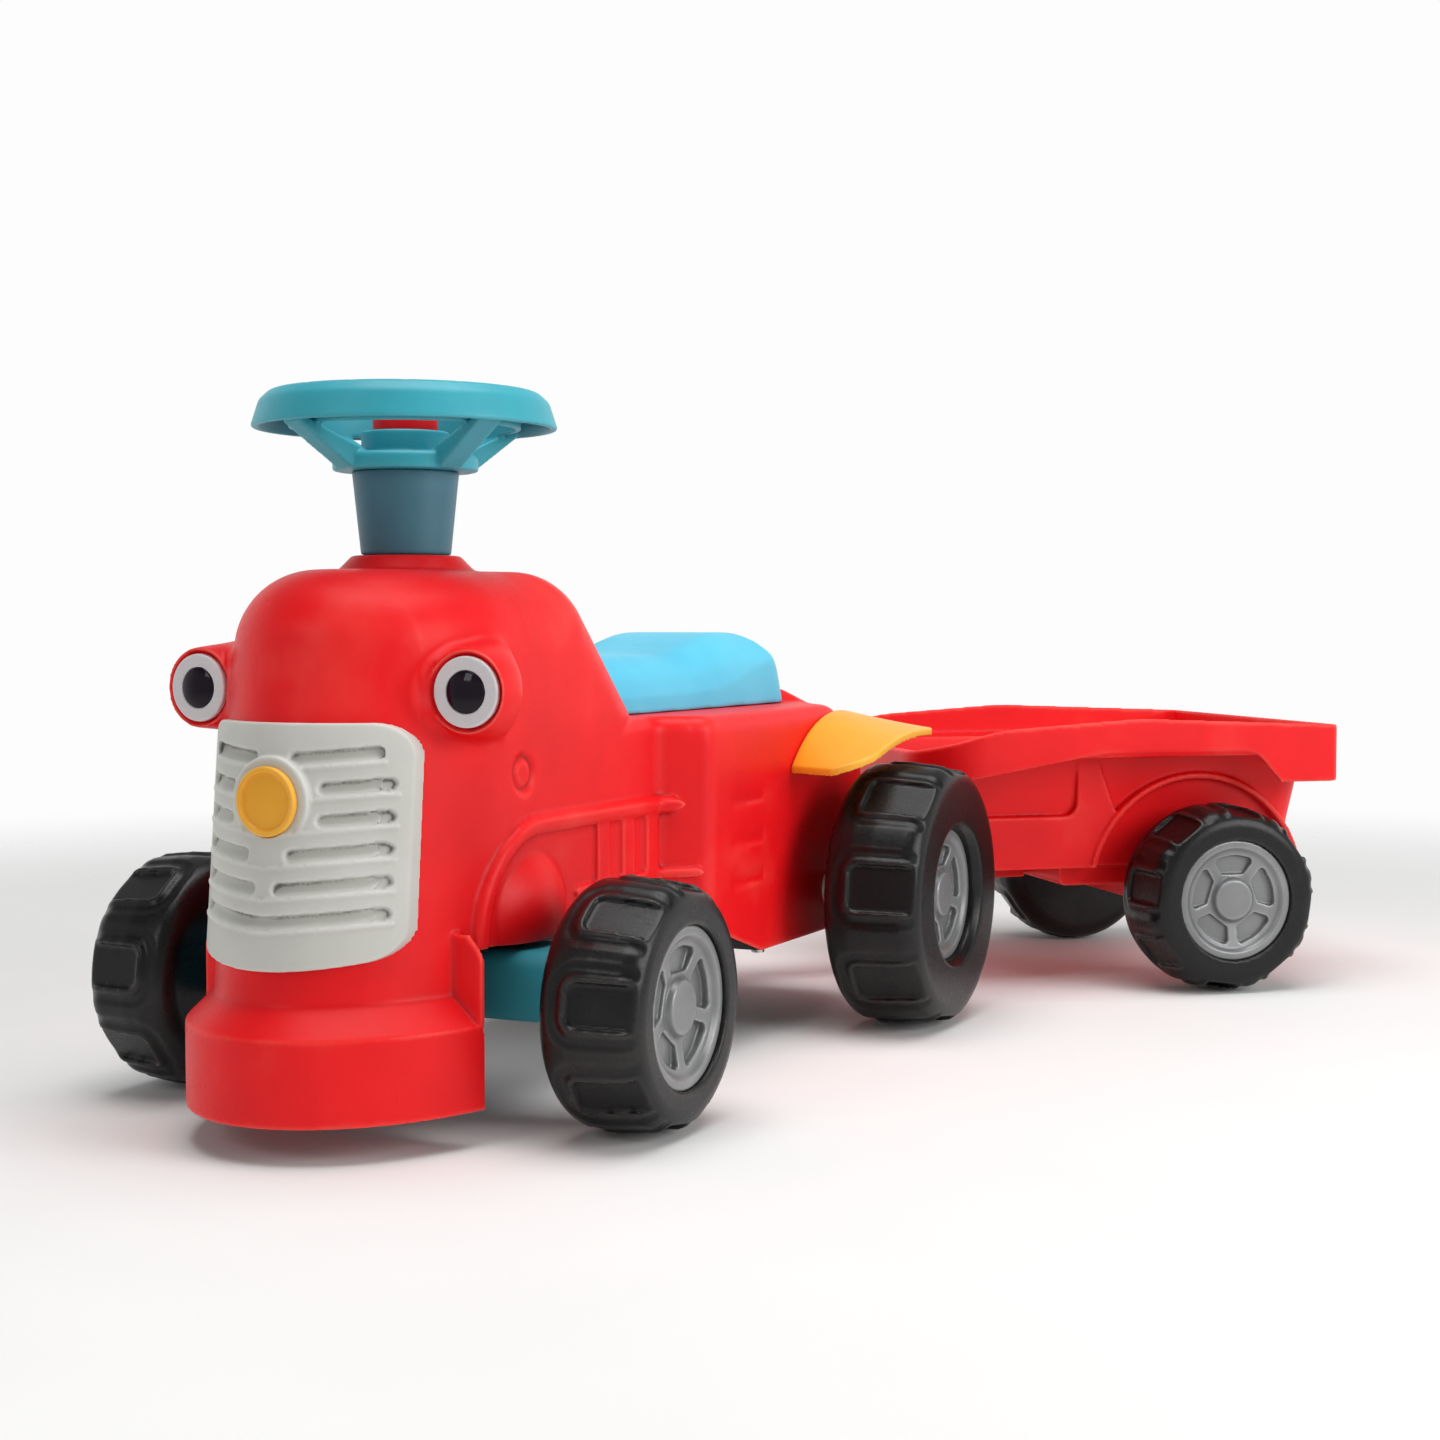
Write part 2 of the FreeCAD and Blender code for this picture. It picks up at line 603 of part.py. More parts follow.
def nose_reach(z):
    """How far the nose reaches ahead of the column at a height."""
    if z < BROW_HEIGHT:
        share = (z - BUMPER_BOTTOM) / (BROW_HEIGHT - BUMPER_BOTTOM)
        return NOSE_LOW + share * (NOSE_BROW - NOSE_LOW)
    share = (z - BROW_HEIGHT) / (BONNET_TOP - BROW_HEIGHT)
    return NOSE_BROW + share * (NOSE_TOP - NOSE_BROW)


def bonnet_plan(z, inset):
    """The bonnet's plan at a height up to the brow, drawn in by an inset."""
    return nose_plan(z, BODY_HALF_WIDTH - inset, nose_reach(z) - inset, BONNET_REAR - inset,
                     BONNET_REAR_CORNER - inset)


def bonnet_block(inset, floor):
    """The bonnet as a solid, drawn in by an inset, from a floor height up."""
    top = BONNET_TOP - inset
    crown_plan = nose_plan(top, BODY_HALF_WIDTH - BONNET_TOP_NARROWING - inset, NOSE_TOP - inset,
                           BONNET_REAR_TOP - inset, BONNET_REAR_CORNER - inset)
    lower = Part.makeLoft([bonnet_plan(floor, inset), bonnet_plan(BROW_HEIGHT, inset)], True, True)
    upper = Part.makeLoft([bonnet_plan(BROW_HEIGHT, inset), crown_plan], True, True)
    rim = edges_where(upper, lambda p: abs(p.z - top) < NEAR)
    return lower.fuse(upper.makeFillet(BONNET_TOP_ROUND - inset, rim))


def bumper_block(inset, floor):
    """The stepped bumper round the foot of the nose."""
    def plan(z):
        return nose_plan(z, BUMPER_HALF_WIDTH - inset, BUMPER_REACH - inset, BONNET_REAR - inset,
                         BONNET_REAR_CORNER - inset)
    top = BUMPER_TOP - inset
    band = Part.Face(plan(floor)).extrude(UP * (top - floor))
    ridge = Part.makeLoft([plan(top), bonnet_plan(BUMPER_RIDGE - inset, inset)], True, True)
    return band.fuse(ridge)


def axle_space(inset):
    """The room under the body for the front axle; an inset leaves a wall behind the bumper."""
    top = AXLE_SPACE_TOP - (SEAT_GAP if inset else 0)
    return Part.makeBox(FAR, FAR, FAR, V(-FAR / 2, BUMPER_REAR - inset, top - FAR))


# Body: the tail that carries the seat

def seat_body_plan(inset):
    waist = BODY_HALF_WIDTH - inset
    wide = SEAT_BODY_HALF_WIDTH - inset
    tail = BODY_REAR - inset
    side = [
        (waist, BODY_START, 0),
        (waist, WAIST_END + inset, WAIST_ROUND + inset),
        (wide, WAIST_END + WAIST_STEP + inset, WAIST_ROUND - inset),
        (wide, tail, BODY_REAR_CORNER - inset),
    ]
    return side + [(-u, v, r) for u, v, r in reversed(side)]


def seat_body_block(inset):
    """The tail of the body, kept where its plan and its side view agree."""
    sink = WALL if inset else 0
    deck = SEAT_DECK - inset
    hump = HUMP_TOP - inset
    tail = BODY_REAR - inset
    profile = [
        (BODY_START, AXLE_SPACE_TOP - sink, 0),
        (AXLE_SPACE_REAR, AXLE_SPACE_TOP - sink, 0),
        (BODY_BOTTOM_FRONT, BODY_BOTTOM - sink, 0),
        (tail, BODY_BOTTOM - sink, 0),
        (tail, BODY_REAR_TOP - inset, HUMP_ROUND),
        (HUMP_REAR, hump, HUMP_ROUND),
        (HUMP_FRONT, hump, 0),
        (HUMP_FRONT - (HUMP_TOP - SEAT_DECK), deck, 0),
        (BODY_START, deck, 0),
    ]
    from_above = prism(seat_body_plan(inset), on_xy(0), UP * FAR)
    from_side = prism(profile, on_yz(-FAR / 2), OUT * FAR)
    block = from_above.common(from_side)
    if not inset:
        edge = edges_where(block, lambda p: abs(p.x) > BODY_HALF_WIDTH / 2 and p.z > SEAT_DECK - NEAR
                           and p.y < SEAT_REAR)
        block = block.makeFillet(DECK_ROUND, edge)
    return block.cut(pair(tail_hip(inset)))


def tail_hip(inset):
    """What the sloping hip takes off the tail's +X top corner."""
    steep = math.sqrt(1 + HIP_SIDE_FALL ** 2 + HIP_REAR_FALL ** 2)
    corners = []
    for x, y in ((0, -FAR), (FAR, -FAR), (FAR, FAR), (0, FAR)):
        fall = HIP_SIDE_FALL * (x - SEAT_BODY_HALF_WIDTH) + HIP_REAR_FALL * (y - HIP_START)
        corners.append(V(x, y + WHEELBASE, SEAT_DECK - fall - inset * steep))
    return Part.Face(Part.makePolygon(corners + corners[:1])).extrude(UP * 2 * FAR)


# Body: lamp pods and relief

def lamp_frame(shape):
    """Moves a lamp piece that is drawn at the origin, facing -Y, to the +X lamp."""
    return shape.rotated(ORIGIN, UP, POD_TOE_OUT).translated(V(POD_X, POD_Y, POD_Z))


def lamp_pod(inset):
    front = POD_DIA / 2 - inset
    cone = Part.makeCone(front, front + POD_FLARE, POD_LENGTH - 2 * inset, BACK * inset, BACK)
    back = edges_where(cone, lambda p: p.y > POD_LENGTH / 2)
    back = [edge for edge in back if edge.Curve.TypeId == "Part::GeomCircle"]
    return lamp_frame(cone.makeFillet(POD_REAR_ROUND, back))


def rail_band(width, rise):
    """One layer of the raised rail, wrapped on the bonnet's +X flank."""
    half = width / 2
    band = prism([
        (RAIL_FRONT - half, RAIL_FOOT, 0),
        (RAIL_FRONT - half, RAIL_HEIGHT + half, RAIL_BEND + half),
        (RAIL_REAR, RAIL_HEIGHT + half, half * END_SHARE),
        (RAIL_REAR, RAIL_HEIGHT - half, half * END_SHARE),
        (RAIL_FRONT + half, RAIL_HEIGHT - half, RAIL_BEND - half),
        (RAIL_FRONT + half, RAIL_FOOT, 0),
    ], on_yz(BODY_HALF_WIDTH / 2), OUT * FAR)
    return wrapped(band, rise)


def wrapped(band, rise):
    """The part of a band that stands out of the body's side by a rise."""
    return band.common(bonnet_block(-rise, BUMPER_BOTTOM).fuse(seat_body_block(-rise)))


def low_rail():
    """The short bar below the fins, which runs on over the waist."""
    half = LOW_RAIL_WIDTH / 2
    rear = RAIL_REAR + LOW_RAIL_PAST
    band = prism([
        (LOW_RAIL_FRONT, LOW_RAIL_Z - half, half * END_SHARE),
        (rear, LOW_RAIL_Z - half, half * END_SHARE),
        (rear, LOW_RAIL_Z + half, half * END_SHARE),
        (LOW_RAIL_FRONT, LOW_RAIL_Z + half, half * END_SHARE),
    ], on_yz(BODY_HALF_WIDTH / 2), OUT * FAR)
    return wrapped(band, RAIL_RISE)


def wheel_strip():
    """The flange that stands out between the bumper and the rail, ahead of the front wheel."""
    top = AXLE_SPACE_TOP + STRIP_HEIGHT
    front = BUMPER_REAR - STRIP_THICKNESS
    return prism([
        (STRIP_FOOT, BUMPER_TOP - PAST, 0),
        (STRIP_REACH, BUMPER_TOP - PAST, 0),
        (STRIP_REACH, AXLE_SPACE_TOP, STRIP_HEIGHT),
        (STRIP_REACH - STRIP_LEAN, top, 0),
        (STRIP_FOOT, top, 0),
    ], on_xz(front), BACK * STRIP_THICKNESS)


def side_relief():
    """The raised rail, fins and round boss on the +X side of the bonnet."""
    x = BODY_HALF_WIDTH
    half = FIN_WIDTH / 2
    pieces = [rail_band(RAIL_WIDTH, RAIL_RISE), rail_band(RAIL_CREST_WIDTH, RAIL_CREST_RISE)]
    pieces += [low_rail(), wheel_strip()]
    for i in range(FIN_COUNT):
        y = FIN_REAR - i * FIN_PITCH
        pieces.append(prism([
            (y - half, RAIL_HEIGHT, 0),
            (y - half, LOW_RAIL_Z, 0),
            (y + half, LOW_RAIL_Z, 0),
            (y + half, RAIL_HEIGHT, 0),
        ], on_yz(x - WALL), OUT * (WALL + FIN_RISE)))
    ball = Part.makeSphere(BOSS_RADIUS, V(x + BOSS_RISE - BOSS_RADIUS, BOSS_Y, BOSS_Z), BACK)
    side = Part.makeBox(FAR, FAR, FAR, V(x - WALL, -FAR / 2, AXLE_SPACE_TOP))
    return pieces + [ball.common(side)]


def side_cuts():
    """The dimple and the louvres sunk into the +X side."""
    floor = BODY_HALF_WIDTH - DIMPLE_DEPTH
    cuts = [Part.makeCylinder(DIMPLE_DIA / 2, FAR, V(floor, DIMPLE_Y, DIMPLE_Z), OUT)]
    x = SEAT_BODY_HALF_WIDTH
    for i in range(LOUVRE_COUNT):
        top = LOUVRE_TOP - i * LOUVRE_PITCH
        wedge = [
            (x, top, 0),
            (x - LOUVRE_DEPTH, top - LOUVRE_HEIGHT, 0),
            (x + LOUVRE_DEPTH, top - LOUVRE_HEIGHT, 0),
        ]
        cuts.append(prism(wedge, on_xz(LOUVRE_FRONT), BACK * LOUVRE_LENGTH))
    return cuts


# Body: the finished shell and what closes it

def body_bosses():
    """Where the underbody's screws go: (x, y, height of the plate's underside), +X side."""
    waist = BODY_HALF_WIDTH - WALL - SCREW_BOSS_DIA / 2 + SCREW_BOSS_BITE
    wide = SEAT_BODY_HALF_WIDTH - WALL - SCREW_BOSS_DIA / 2 + SCREW_BOSS_BITE
    return [
        (waist, SCREW_EDGE, AXLE_SPACE_TOP),
        (waist, AXLE_SPACE_REAR - SCREW_EDGE, AXLE_SPACE_TOP),
        (wide, BODY_BOTTOM_FRONT + SCREW_EDGE, BODY_BOTTOM),
        (wide, BODY_REAR - BODY_REAR_CORNER - SCREW_EDGE, BODY_BOTTOM),
    ]


def body_screw_seats():
    seats = [V(x, y, z) for x, y, z in body_bosses()]
    return seats + [V(-s.x, s.y, s.z) for s in seats]


def seat_screw_seats():
    """Screws come up through the deck into the seat's posts."""
    seats = []
    for y in (BONNET_REAR + SCREW_BOSS_DIA, SEAT_REAR - SEAT_CORNER - SEAT_TAIL_SLOPE):
        for x in (1, -1):
            seats.append(V(x * (SEAT_NOSE_HALF_WIDTH - SEAT_WALL - SCREW_BOSS_DIA), y, SEAT_DECK - WALL))
    return seats


def fender_screw_seats():
    """Screws come out through the +X wall into the fender's foot."""
    z = FENDER_FOOT_TOP - FENDER_FOOT_HEIGHT / 2
    x = SEAT_BODY_HALF_WIDTH - WALL
    reach = FENDER_FOOT_LENGTH / 2 - SCREW_EDGE
    return [V(x, FENDER_CREST_Y - reach, z), V(x, FENDER_CREST_Y + reach, z)]


def make_body_shell():
    outside = bonnet_block(0, BUMPER_BOTTOM).fuse(bumper_block(0, BUMPER_BOTTOM)).cut(axle_space(0))
    collar = Part.makeCone(COLLAR_DIA / 2, COLLAR_TOP_DIA / 2, COLLAR_HEIGHT, V(0, 0, BONNET_TOP), UP)
    neck = Part.makeCylinder(COLLAR_DIA / 2, WALL, V(0, 0, BONNET_TOP - WALL), UP)
    outside = outside.fuse([seat_body_block(0), collar, neck] + pair(lamp_pod(0))).removeSplitter()
    outside = outside.fuse(pairs(side_relief()))
    floor = BUMPER_BOTTOM - WALL
    inside = bonnet_block(WALL, floor).fuse(bumper_block(WALL, floor)).cut(axle_space(WALL))
    inside = inside.fuse([seat_body_block(WALL)] + pair(lamp_pod(WALL)))
    shell = outside.cut(inside)
    posts = []
    for x, y, z in body_bosses():
        base = V(x, y, z + PLATE_THICKNESS)
        posts.append(Part.makeCylinder(SCREW_BOSS_DIA / 2, SCREW_BOSS_HEIGHT, base, UP))
    shell = shell.fuse(pairs(posts)).removeSplitter()
    lamp_seat = Part.makeCylinder(LAMP_DIA / 2 + SEAT_GAP, LAMP_SEAT_DEPTH + WALL, BACK * -WALL, BACK)
    axle_hole = Part.makeCylinder(BORE_R + BUSH_WALL + SEAT_GAP, FAR, V(0, WHEELBASE, REAR_R), OUT)
    cuts = pairs(side_cuts() + [lamp_frame(lamp_seat), axle_hole])
    cuts.append(Part.makeCylinder(BUSH_OUTER_R + SEAT_GAP, FAR, V(0, 0, BROW_HEIGHT), UP))
    cuts += [screw_hole(seat, UP) for seat in body_screw_seats() + seat_screw_seats()]
    cuts += pairs([screw_hole(seat, OUT) for seat in fender_screw_seats()])
    slot_width = TONGUE_WIDTH + 2 * PLATE_FIT
    slot_height = TONGUE_THICKNESS + 2 * PLATE_FIT
    slot_base = V(-slot_width / 2, BODY_REAR - 2 * WALL, TONGUE_BOTTOM - PLATE_FIT)
    cuts.append(Part.makeBox(slot_width, FAR, slot_height, slot_base))
    return shell.cut(cuts)


def make_underbody_plate():
    """A bent plate that closes the body from below and carries the column and the tongue."""
    inset = WALL + PLATE_FIT
    nose = Part.Face(bonnet_plan(AXLE_SPACE_TOP + PLATE_THICKNESS, inset)).extrude(UP * -FAR)
    plan = nose.fuse(prism(seat_body_plan(inset), on_xy(0), UP * FAR))
    bends = [
        (-FAR / 2, AXLE_SPACE_TOP),
        (AXLE_SPACE_REAR, AXLE_SPACE_TOP),
        (BODY_BOTTOM_FRONT, BODY_BOTTOM),
        (FAR / 2, BODY_BOTTOM),
    ]
    section = [(y, z, 0) for y, z in bends] + [(y, z + PLATE_THICKNESS, 0) for y, z in reversed(bends)]
    plate = plan.common(prism(section, on_yz(-FAR / 2), OUT * FAR))
    holes = [screw_hole(seat, UP) for seat in body_screw_seats() + tow_screw_seats()]
    holes.append(Part.makeCylinder(BUSH_OUTER_R + SEAT_GAP, FAR, V(0, 0, 0), UP))
    return plate.cut(holes).removeSplitter()


def make_column_bush_upper():
    bore = JOURNAL_R + RUNNING_FIT
    under = BONNET_TOP - WALL
    sleeve = tube(BUSH_OUTER_R, bore, COLLAR_TOP - under, V(0, 0, under), UP)
    flange = tube(BUSH_OUTER_R + BUSH_FLANGE, bore, BUSH_FLANGE_THICKNESS,
                  V(0, 0, under - BUSH_FLANGE_THICKNESS), UP)
    return joined([sleeve, flange])


def make_column_bush_lower():
    bore = JOURNAL_R + RUNNING_FIT
    foot = CARRIER_TOP + SIDE_PLAY
    sleeve = tube(BUSH_OUTER_R, bore, LOWER_BUSH_LENGTH, V(0, 0, foot), UP)
    flange = tube(BUSH_OUTER_R + BUSH_FLANGE, bore, BUSH_FLANGE_THICKNESS,
                  V(0, 0, AXLE_SPACE_TOP + PLATE_THICKNESS), UP)
    return joined([sleeve, flange])


# Grille, badge and lamps

def grille_skin(outset):
    """The nose grown by an outset, from the bumper's ridge up to above the grille."""
    return bonnet_block(-outset, BUMPER_RIDGE)


def slot_outline(z, inner):
    """A grille slot on the +X side, lower at its inner end so that the rows smile."""
    outer = SLOT_HALF_LENGTH
    low = z - SLOT_SMILE * (1 - inner / outer)
    half = SLOT_HEIGHT / 2
    round_end = half * END_SHARE
    return [
        (inner, low - half, round_end),
        (outer, z - half, round_end),
        (outer, z + half, round_end),
        (inner, low + half, round_end),
    ]


def slot_start(row):
    """Where a row of slots starts beside the middle: clear of the badge or of the centre bar."""
    if row == SLOT_COUNT - 1:
        return -SLOT_HEIGHT
    clear = BADGE_DIA / 2 + BADGE_MARGIN + SLOT_HEIGHT / 2
    above = abs(SLOT_TOP - row * SLOT_PITCH - BADGE_Z)
    if above < clear:
        return max(math.sqrt(clear ** 2 - above ** 2), CENTRE_BAR / 2)
    return CENTRE_BAR / 2


def badge_face():
    """Where the flat face behind the badge stands."""
    return -nose_reach(BADGE_Z) - GRILLE_THICKNESS


def make_front_grille():
    corner = GRILLE_BOTTOM + GRILLE_SMILE
    front = [
        (GRILLE_HALF_WIDTH, GRILLE_TOP, GRILLE_ROUND),
        (GRILLE_HALF_WIDTH, corner, GRILLE_ROUND),
        (0, GRILLE_BOTTOM, GRILLE_SWEEP),
        (-GRILLE_HALF_WIDTH, corner, GRILLE_ROUND),
        (-GRILLE_HALF_WIDTH, GRILLE_TOP, GRILLE_ROUND),
    ]
    shield = prism(front, on_xz(0), BACK * -FAR)
    behind = grille_skin(GRILLE_SEAT)
    plate = shield.common(grille_skin(GRILLE_THICKNESS)).cut(behind)
    floor = grille_skin(GRILLE_THICKNESS - SLOT_DEPTH)
    slots = []
    for row in range(SLOT_COUNT):
        slot = prism(slot_outline(SLOT_TOP - row * SLOT_PITCH, slot_start(row)), on_xz(0), BACK * -FAR)
        slots += pair(slot.cut(floor))
    face = V(0, badge_face(), BADGE_Z)
    pad = Part.makeCylinder(BADGE_DIA / 2 + BADGE_MARGIN, -face.y, face, BACK).cut(behind)
    slots.append(Part.makeCylinder(BADGE_DIA / 2 + PLATE_FIT, FAR, face, BACK * -1))
    peg = Part.makeCylinder(BADGE_PEG_DIA / 2 + SEAT_GAP, BADGE_PEG_LENGTH + SEAT_GAP, face, BACK)
    return plate.cut(slots).fuse(pad).cut(peg).removeSplitter()


def make_grille_badge():
    """A round plaque with a raised rim and a domed middle, on a peg."""
    r = BADGE_DIA / 2
    face = badge_face()
    plaque = turned([
        (0, 0, 0),
        (BADGE_THICKNESS - BADGE_DISH + BADGE_DOME, 0, 0),
        (BADGE_THICKNESS - BADGE_DISH, r - BADGE_RIM, 0),
        (BADGE_THICKNESS, r - BADGE_RIM, BADGE_RIM_ROUND),
        (BADGE_THICKNESS, r, BADGE_RIM_ROUND),
        (0, r, 0),
    ], V(0, face, BADGE_Z), BACK * -1)
    peg = Part.makeCylinder(BADGE_PEG_DIA / 2, BADGE_PEG_LENGTH, V(0, face, BADGE_Z), BACK)
    return joined([plaque, peg])


def make_headlamp_bezel():
    """The white disc of the +X lamp, with a seat for the lens."""
    front = LAMP_SEAT_DEPTH - LAMP_THICKNESS
    disc = Part.makeCylinder(LAMP_DIA / 2, LAMP_THICKNESS, BACK * front, BACK)
    rim = edges_where(disc, lambda p: p.y < front + NEAR)
    disc = disc.makeFillet(LAMP_EDGE_ROUND, rim)
    seat = Part.makeCylinder(LENS_DIA / 2 + SEAT_GAP, LENS_SEAT_DEPTH, BACK * front, BACK)
    return lamp_frame(disc.cut(seat))


def make_headlamp_lens():
    """The dark domed middle of the +X lamp."""
    front = LAMP_SEAT_DEPTH - LAMP_THICKNESS
    r = LENS_DIA / 2
    dome_r = (r ** 2 + LENS_RISE ** 2) / (2 * LENS_RISE)
    disc = Part.makeCylinder(r, LENS_SEAT_DEPTH, BACK * front, BACK)
    ball = Part.makeSphere(dome_r, BACK * (front - LENS_RISE + dome_r), BACK)
    cap = ball.common(Part.makeCylinder(r, LENS_RISE + NEAR, BACK * (front - LENS_RISE), BACK))
    return lamp_frame(disc.fuse(cap).removeSplitter())


# Steering

def carrier_pin_bore():
    """Room for the pin that ties the column to the carrier."""
    base = V(0, -FAR / 2, CARRIER_TOP - CARRIER_SOCKET / 2)
    return Part.makeCylinder(CARRIER_PIN_DIA / 2 + SEAT_GAP, FAR, base, BACK)


def steering_screw_seat():
    return V(0, 0, SPIGOT_FLOOR)


def make_steering_column():
    foot = COLLAR_TOP + SIDE_PLAY
    bore = JOURNAL_R - COLUMN_WALL
    cup = COLUMN_FOOT_DIA / 2 - COLUMN_WALL
    column = turned([
        (CARRIER_SOCKET_FLOOR, bore, 0),
        (CARRIER_SOCKET_FLOOR, JOURNAL_R, 0),
        (foot, JOURNAL_R, 0),
        (foot, COLUMN_FOOT_DIA / 2, 0),
        (COLUMN_TOP, COLUMN_TOP_DIA / 2, 0),
        (COLUMN_TOP, cup, 0),
        (COLUMN_WEB_TOP, cup, 0),
        (COLUMN_WEB_TOP, 0, 0),
        (COLUMN_WEB_TOP - COLUMN_WEB, 0, 0),
        (COLUMN_WEB_TOP - COLUMN_WEB, bore, 0),
    ], ORIGIN, UP)
    return column.cut([carrier_pin_bore(), screw_hole(steering_screw_seat(), UP * -1)])


def make_front_axle_carrier():
    """The beam under the column: open below, with a socket for the column and the axle's bore."""
    half = FRONT_INNER_FACE - SIDE_PLAY
    deep = CARRIER_DEPTH / 2
    beam = prism([
        (-deep, CARRIER_BOTTOM, CARRIER_ROUND),
        (deep, CARRIER_BOTTOM, CARRIER_ROUND),
        (deep, CARRIER_TOP, CARRIER_ROUND),
        (-deep, CARRIER_TOP, CARRIER_ROUND),
    ], on_yz(-half), OUT * 2 * half)
    room = Part.makeBox(2 * (half - CARRIER_WALL), 2 * (deep - CARRIER_WALL), CARRIER_TOP - CARRIER_WALL,
                        V(CARRIER_WALL - half, CARRIER_WALL - deep, 0))
    boss = Part.makeCylinder(JOURNAL_R + CARRIER_BOSS_WALL, CARRIER_TOP, ORIGIN, UP).common(beam)
    socket = Part.makeCylinder(JOURNAL_R + SEAT_GAP, FAR, V(0, 0, CARRIER_SOCKET_FLOOR), UP)
    bore = Part.makeCylinder(AXLE_R + SEAT_GAP, FAR, V(-FAR / 2, 0, FRONT_R), OUT)
    return beam.cut(room).fuse(boss).removeSplitter().cut([socket, bore, carrier_pin_bore()])


def make_carrier_pin():
    base = V(0, -CARRIER_DEPTH / 2, CARRIER_TOP - CARRIER_SOCKET / 2)
    return Part.makeCylinder(CARRIER_PIN_DIA / 2, CARRIER_DEPTH, base, BACK)


def spoke(angle):
    """A flat spoke from the hub plate's edge up to the rim's underside."""
    root = HUB_PLATE_R - SPOKE_THICKNESS
    tip = (RIM_INNER_R + RIM_OUTER_R) / 2
    lift = SPOKE_THICKNESS / 2
    bar = prism([
        (root - SPOKE_THICKNESS, COLUMN_TOP, 0),
        (root + SPOKE_THICKNESS, COLUMN_TOP, 0),
        (tip + lift, RIM_BOTTOM, 0),
        (tip + lift, RIM_TOP - RIM_WALL, 0),
        (tip - lift, RIM_TOP - RIM_WALL, 0),
        (tip - lift, RIM_BOTTOM + lift, 0),
        (root - SPOKE_THICKNESS, HUB_PLATE_TOP, 0),
    ], on_xz(-SPOKE_WIDTH / 2), BACK * SPOKE_WIDTH)
    return bar.rotated(ORIGIN, UP, angle)


def steering_rim():
    """A rim of upside-down U section with shallow finger grooves on top."""
    shoulder = RIM_TOP - RIM_ROUND
    rim = turned([
        (RIM_BOTTOM, RIM_INNER_R, 0),
        (RIM_BOTTOM, RIM_OUTER_R, RIM_EDGE_ROUND),
        (shoulder, RIM_OUTER_R - RIM_SHOULDER, RIM_ROUND),
        (RIM_TOP, RIM_OUTER_R - RIM_CROWN, RIM_ROUND),
        (RIM_TOP - RIM_INNER_DROP, RIM_INNER_R, RIM_ROUND),
    ], ORIGIN, UP)
    hollow = turned([
        (RIM_BOTTOM - PAST, RIM_INNER_R + RIM_WALL, 0),
        (RIM_BOTTOM - PAST, RIM_OUTER_R - RIM_WALL, 0),
        (shoulder - RIM_WALL, RIM_OUTER_R - RIM_SHOULDER - RIM_WALL, 0),
        (RIM_TOP - RIM_INNER_DROP - RIM_WALL, RIM_INNER_R + RIM_WALL, 0),
    ], ORIGIN, UP)
    grooves = []
    for i in range(GRIP_COUNT):
        base = V(RIM_INNER_R / 2, 0, RIM_TOP + GRIP_RADIUS - GRIP_DEPTH)
        groove = Part.makeCylinder(GRIP_RADIUS, RIM_OUTER_R, base, OUT)
        grooves.append(groove.rotated(ORIGIN, UP, (i + 1 / 2) * 360 / GRIP_COUNT))
    return rim.cut([hollow] + grooves)


def make_steering_wheel():
    """Rim, spokes and hub plate, with a cup for the button and a spigot down into the column."""
    plate = Part.makeCylinder(HUB_PLATE_R, HUB_PLATE_THICKNESS, V(0, 0, COLUMN_TOP), UP)
    plate = plate.makeFillet(HUB_PLATE_ROUND, edges_where(plate, lambda p: p.z > HUB_PLATE_TOP - NEAR))
    cup = Part.makeCylinder(HORN_DIA / 2 + HORN_CUP_WALL, HORN_CUP_TOP - COLUMN_TOP, V(0, 0, COLUMN_TOP), UP)
    spigot_r = COLUMN_FOOT_DIA / 2 - COLUMN_WALL - SEAT_GAP
    spigot = Part.makeCylinder(spigot_r, COLUMN_WEB_DROP, V(0, 0, COLUMN_WEB_TOP), UP)
    spokes = [spoke(SPOKE_START + i * 360 / SPOKE_COUNT) for i in range(SPOKE_COUNT)]
    wheel = joined([steering_rim(), plate, cup, spigot] + spokes)
    floor = steering_screw_seat()
    room_r = HORN_DIA / 2 + HORN_FLANGE + HORN_FIT
    deck = V(0, 0, HUB_PLATE_TOP)
    room = Part.makeCylinder(room_r, HORN_FLANGE_TOP + HORN_FIT - HUB_PLATE_TOP, deck, UP)
    mouth = Part.makeCylinder(HORN_DIA / 2 + HORN_FIT, FAR, deck, UP)
    well = Part.makeCylinder(BELLOWS_DIA / 2 + BELLOWS_ROOM, FAR, floor, UP)
    return wheel.cut([room, mouth, well, screw_hole(floor, UP * -1)])


def make_horn_button():
    """A hollow button with a flange that the cup's lip holds down."""
    r = HORN_DIA / 2
    return turned([
        (HORN_FLANGE_FOOT, r - HORN_WALL, 0),
        (HORN_FLANGE_FOOT, r + HORN_FLANGE, 0),
        (HORN_FLANGE_TOP, r + HORN_FLANGE, 0),
        (HORN_FLANGE_TOP, r, 0),
        (HORN_TOP, r, HORN_CROWN_ROUND),
        (HORN_TOP, 0, 0),
        (HORN_TOP - HORN_WALL, 0, 0),
        (HORN_TOP - HORN_WALL, r - HORN_WALL, 0),
    ], ORIGIN, UP)


def make_horn_bellows():
    """The squeaker bellows that stands on the spigot's floor and carries the button."""
    foot = SPIGOT_FLOOR + SEAT_GAP
    top = HORN_TOP - HORN_WALL - SEAT_GAP
    r = BELLOWS_DIA / 2
    return turned([
        (foot, r - BELLOWS_WALL, 0),
        (foot, r, 0),
        (top, r, 0),
        (top, 0, 0),
        (top - BELLOWS_WALL, 0, 0),
        (top - BELLOWS_WALL, r - BELLOWS_WALL, 0),
    ], ORIGIN, UP)


# Wheels, drawn with the axle along X from the inner face at X = 0 to the outer face

def cap_back(width, recess):
    return width - recess - HUB_LIP_RISE - HUB_DISH - HUB_THICKNESS


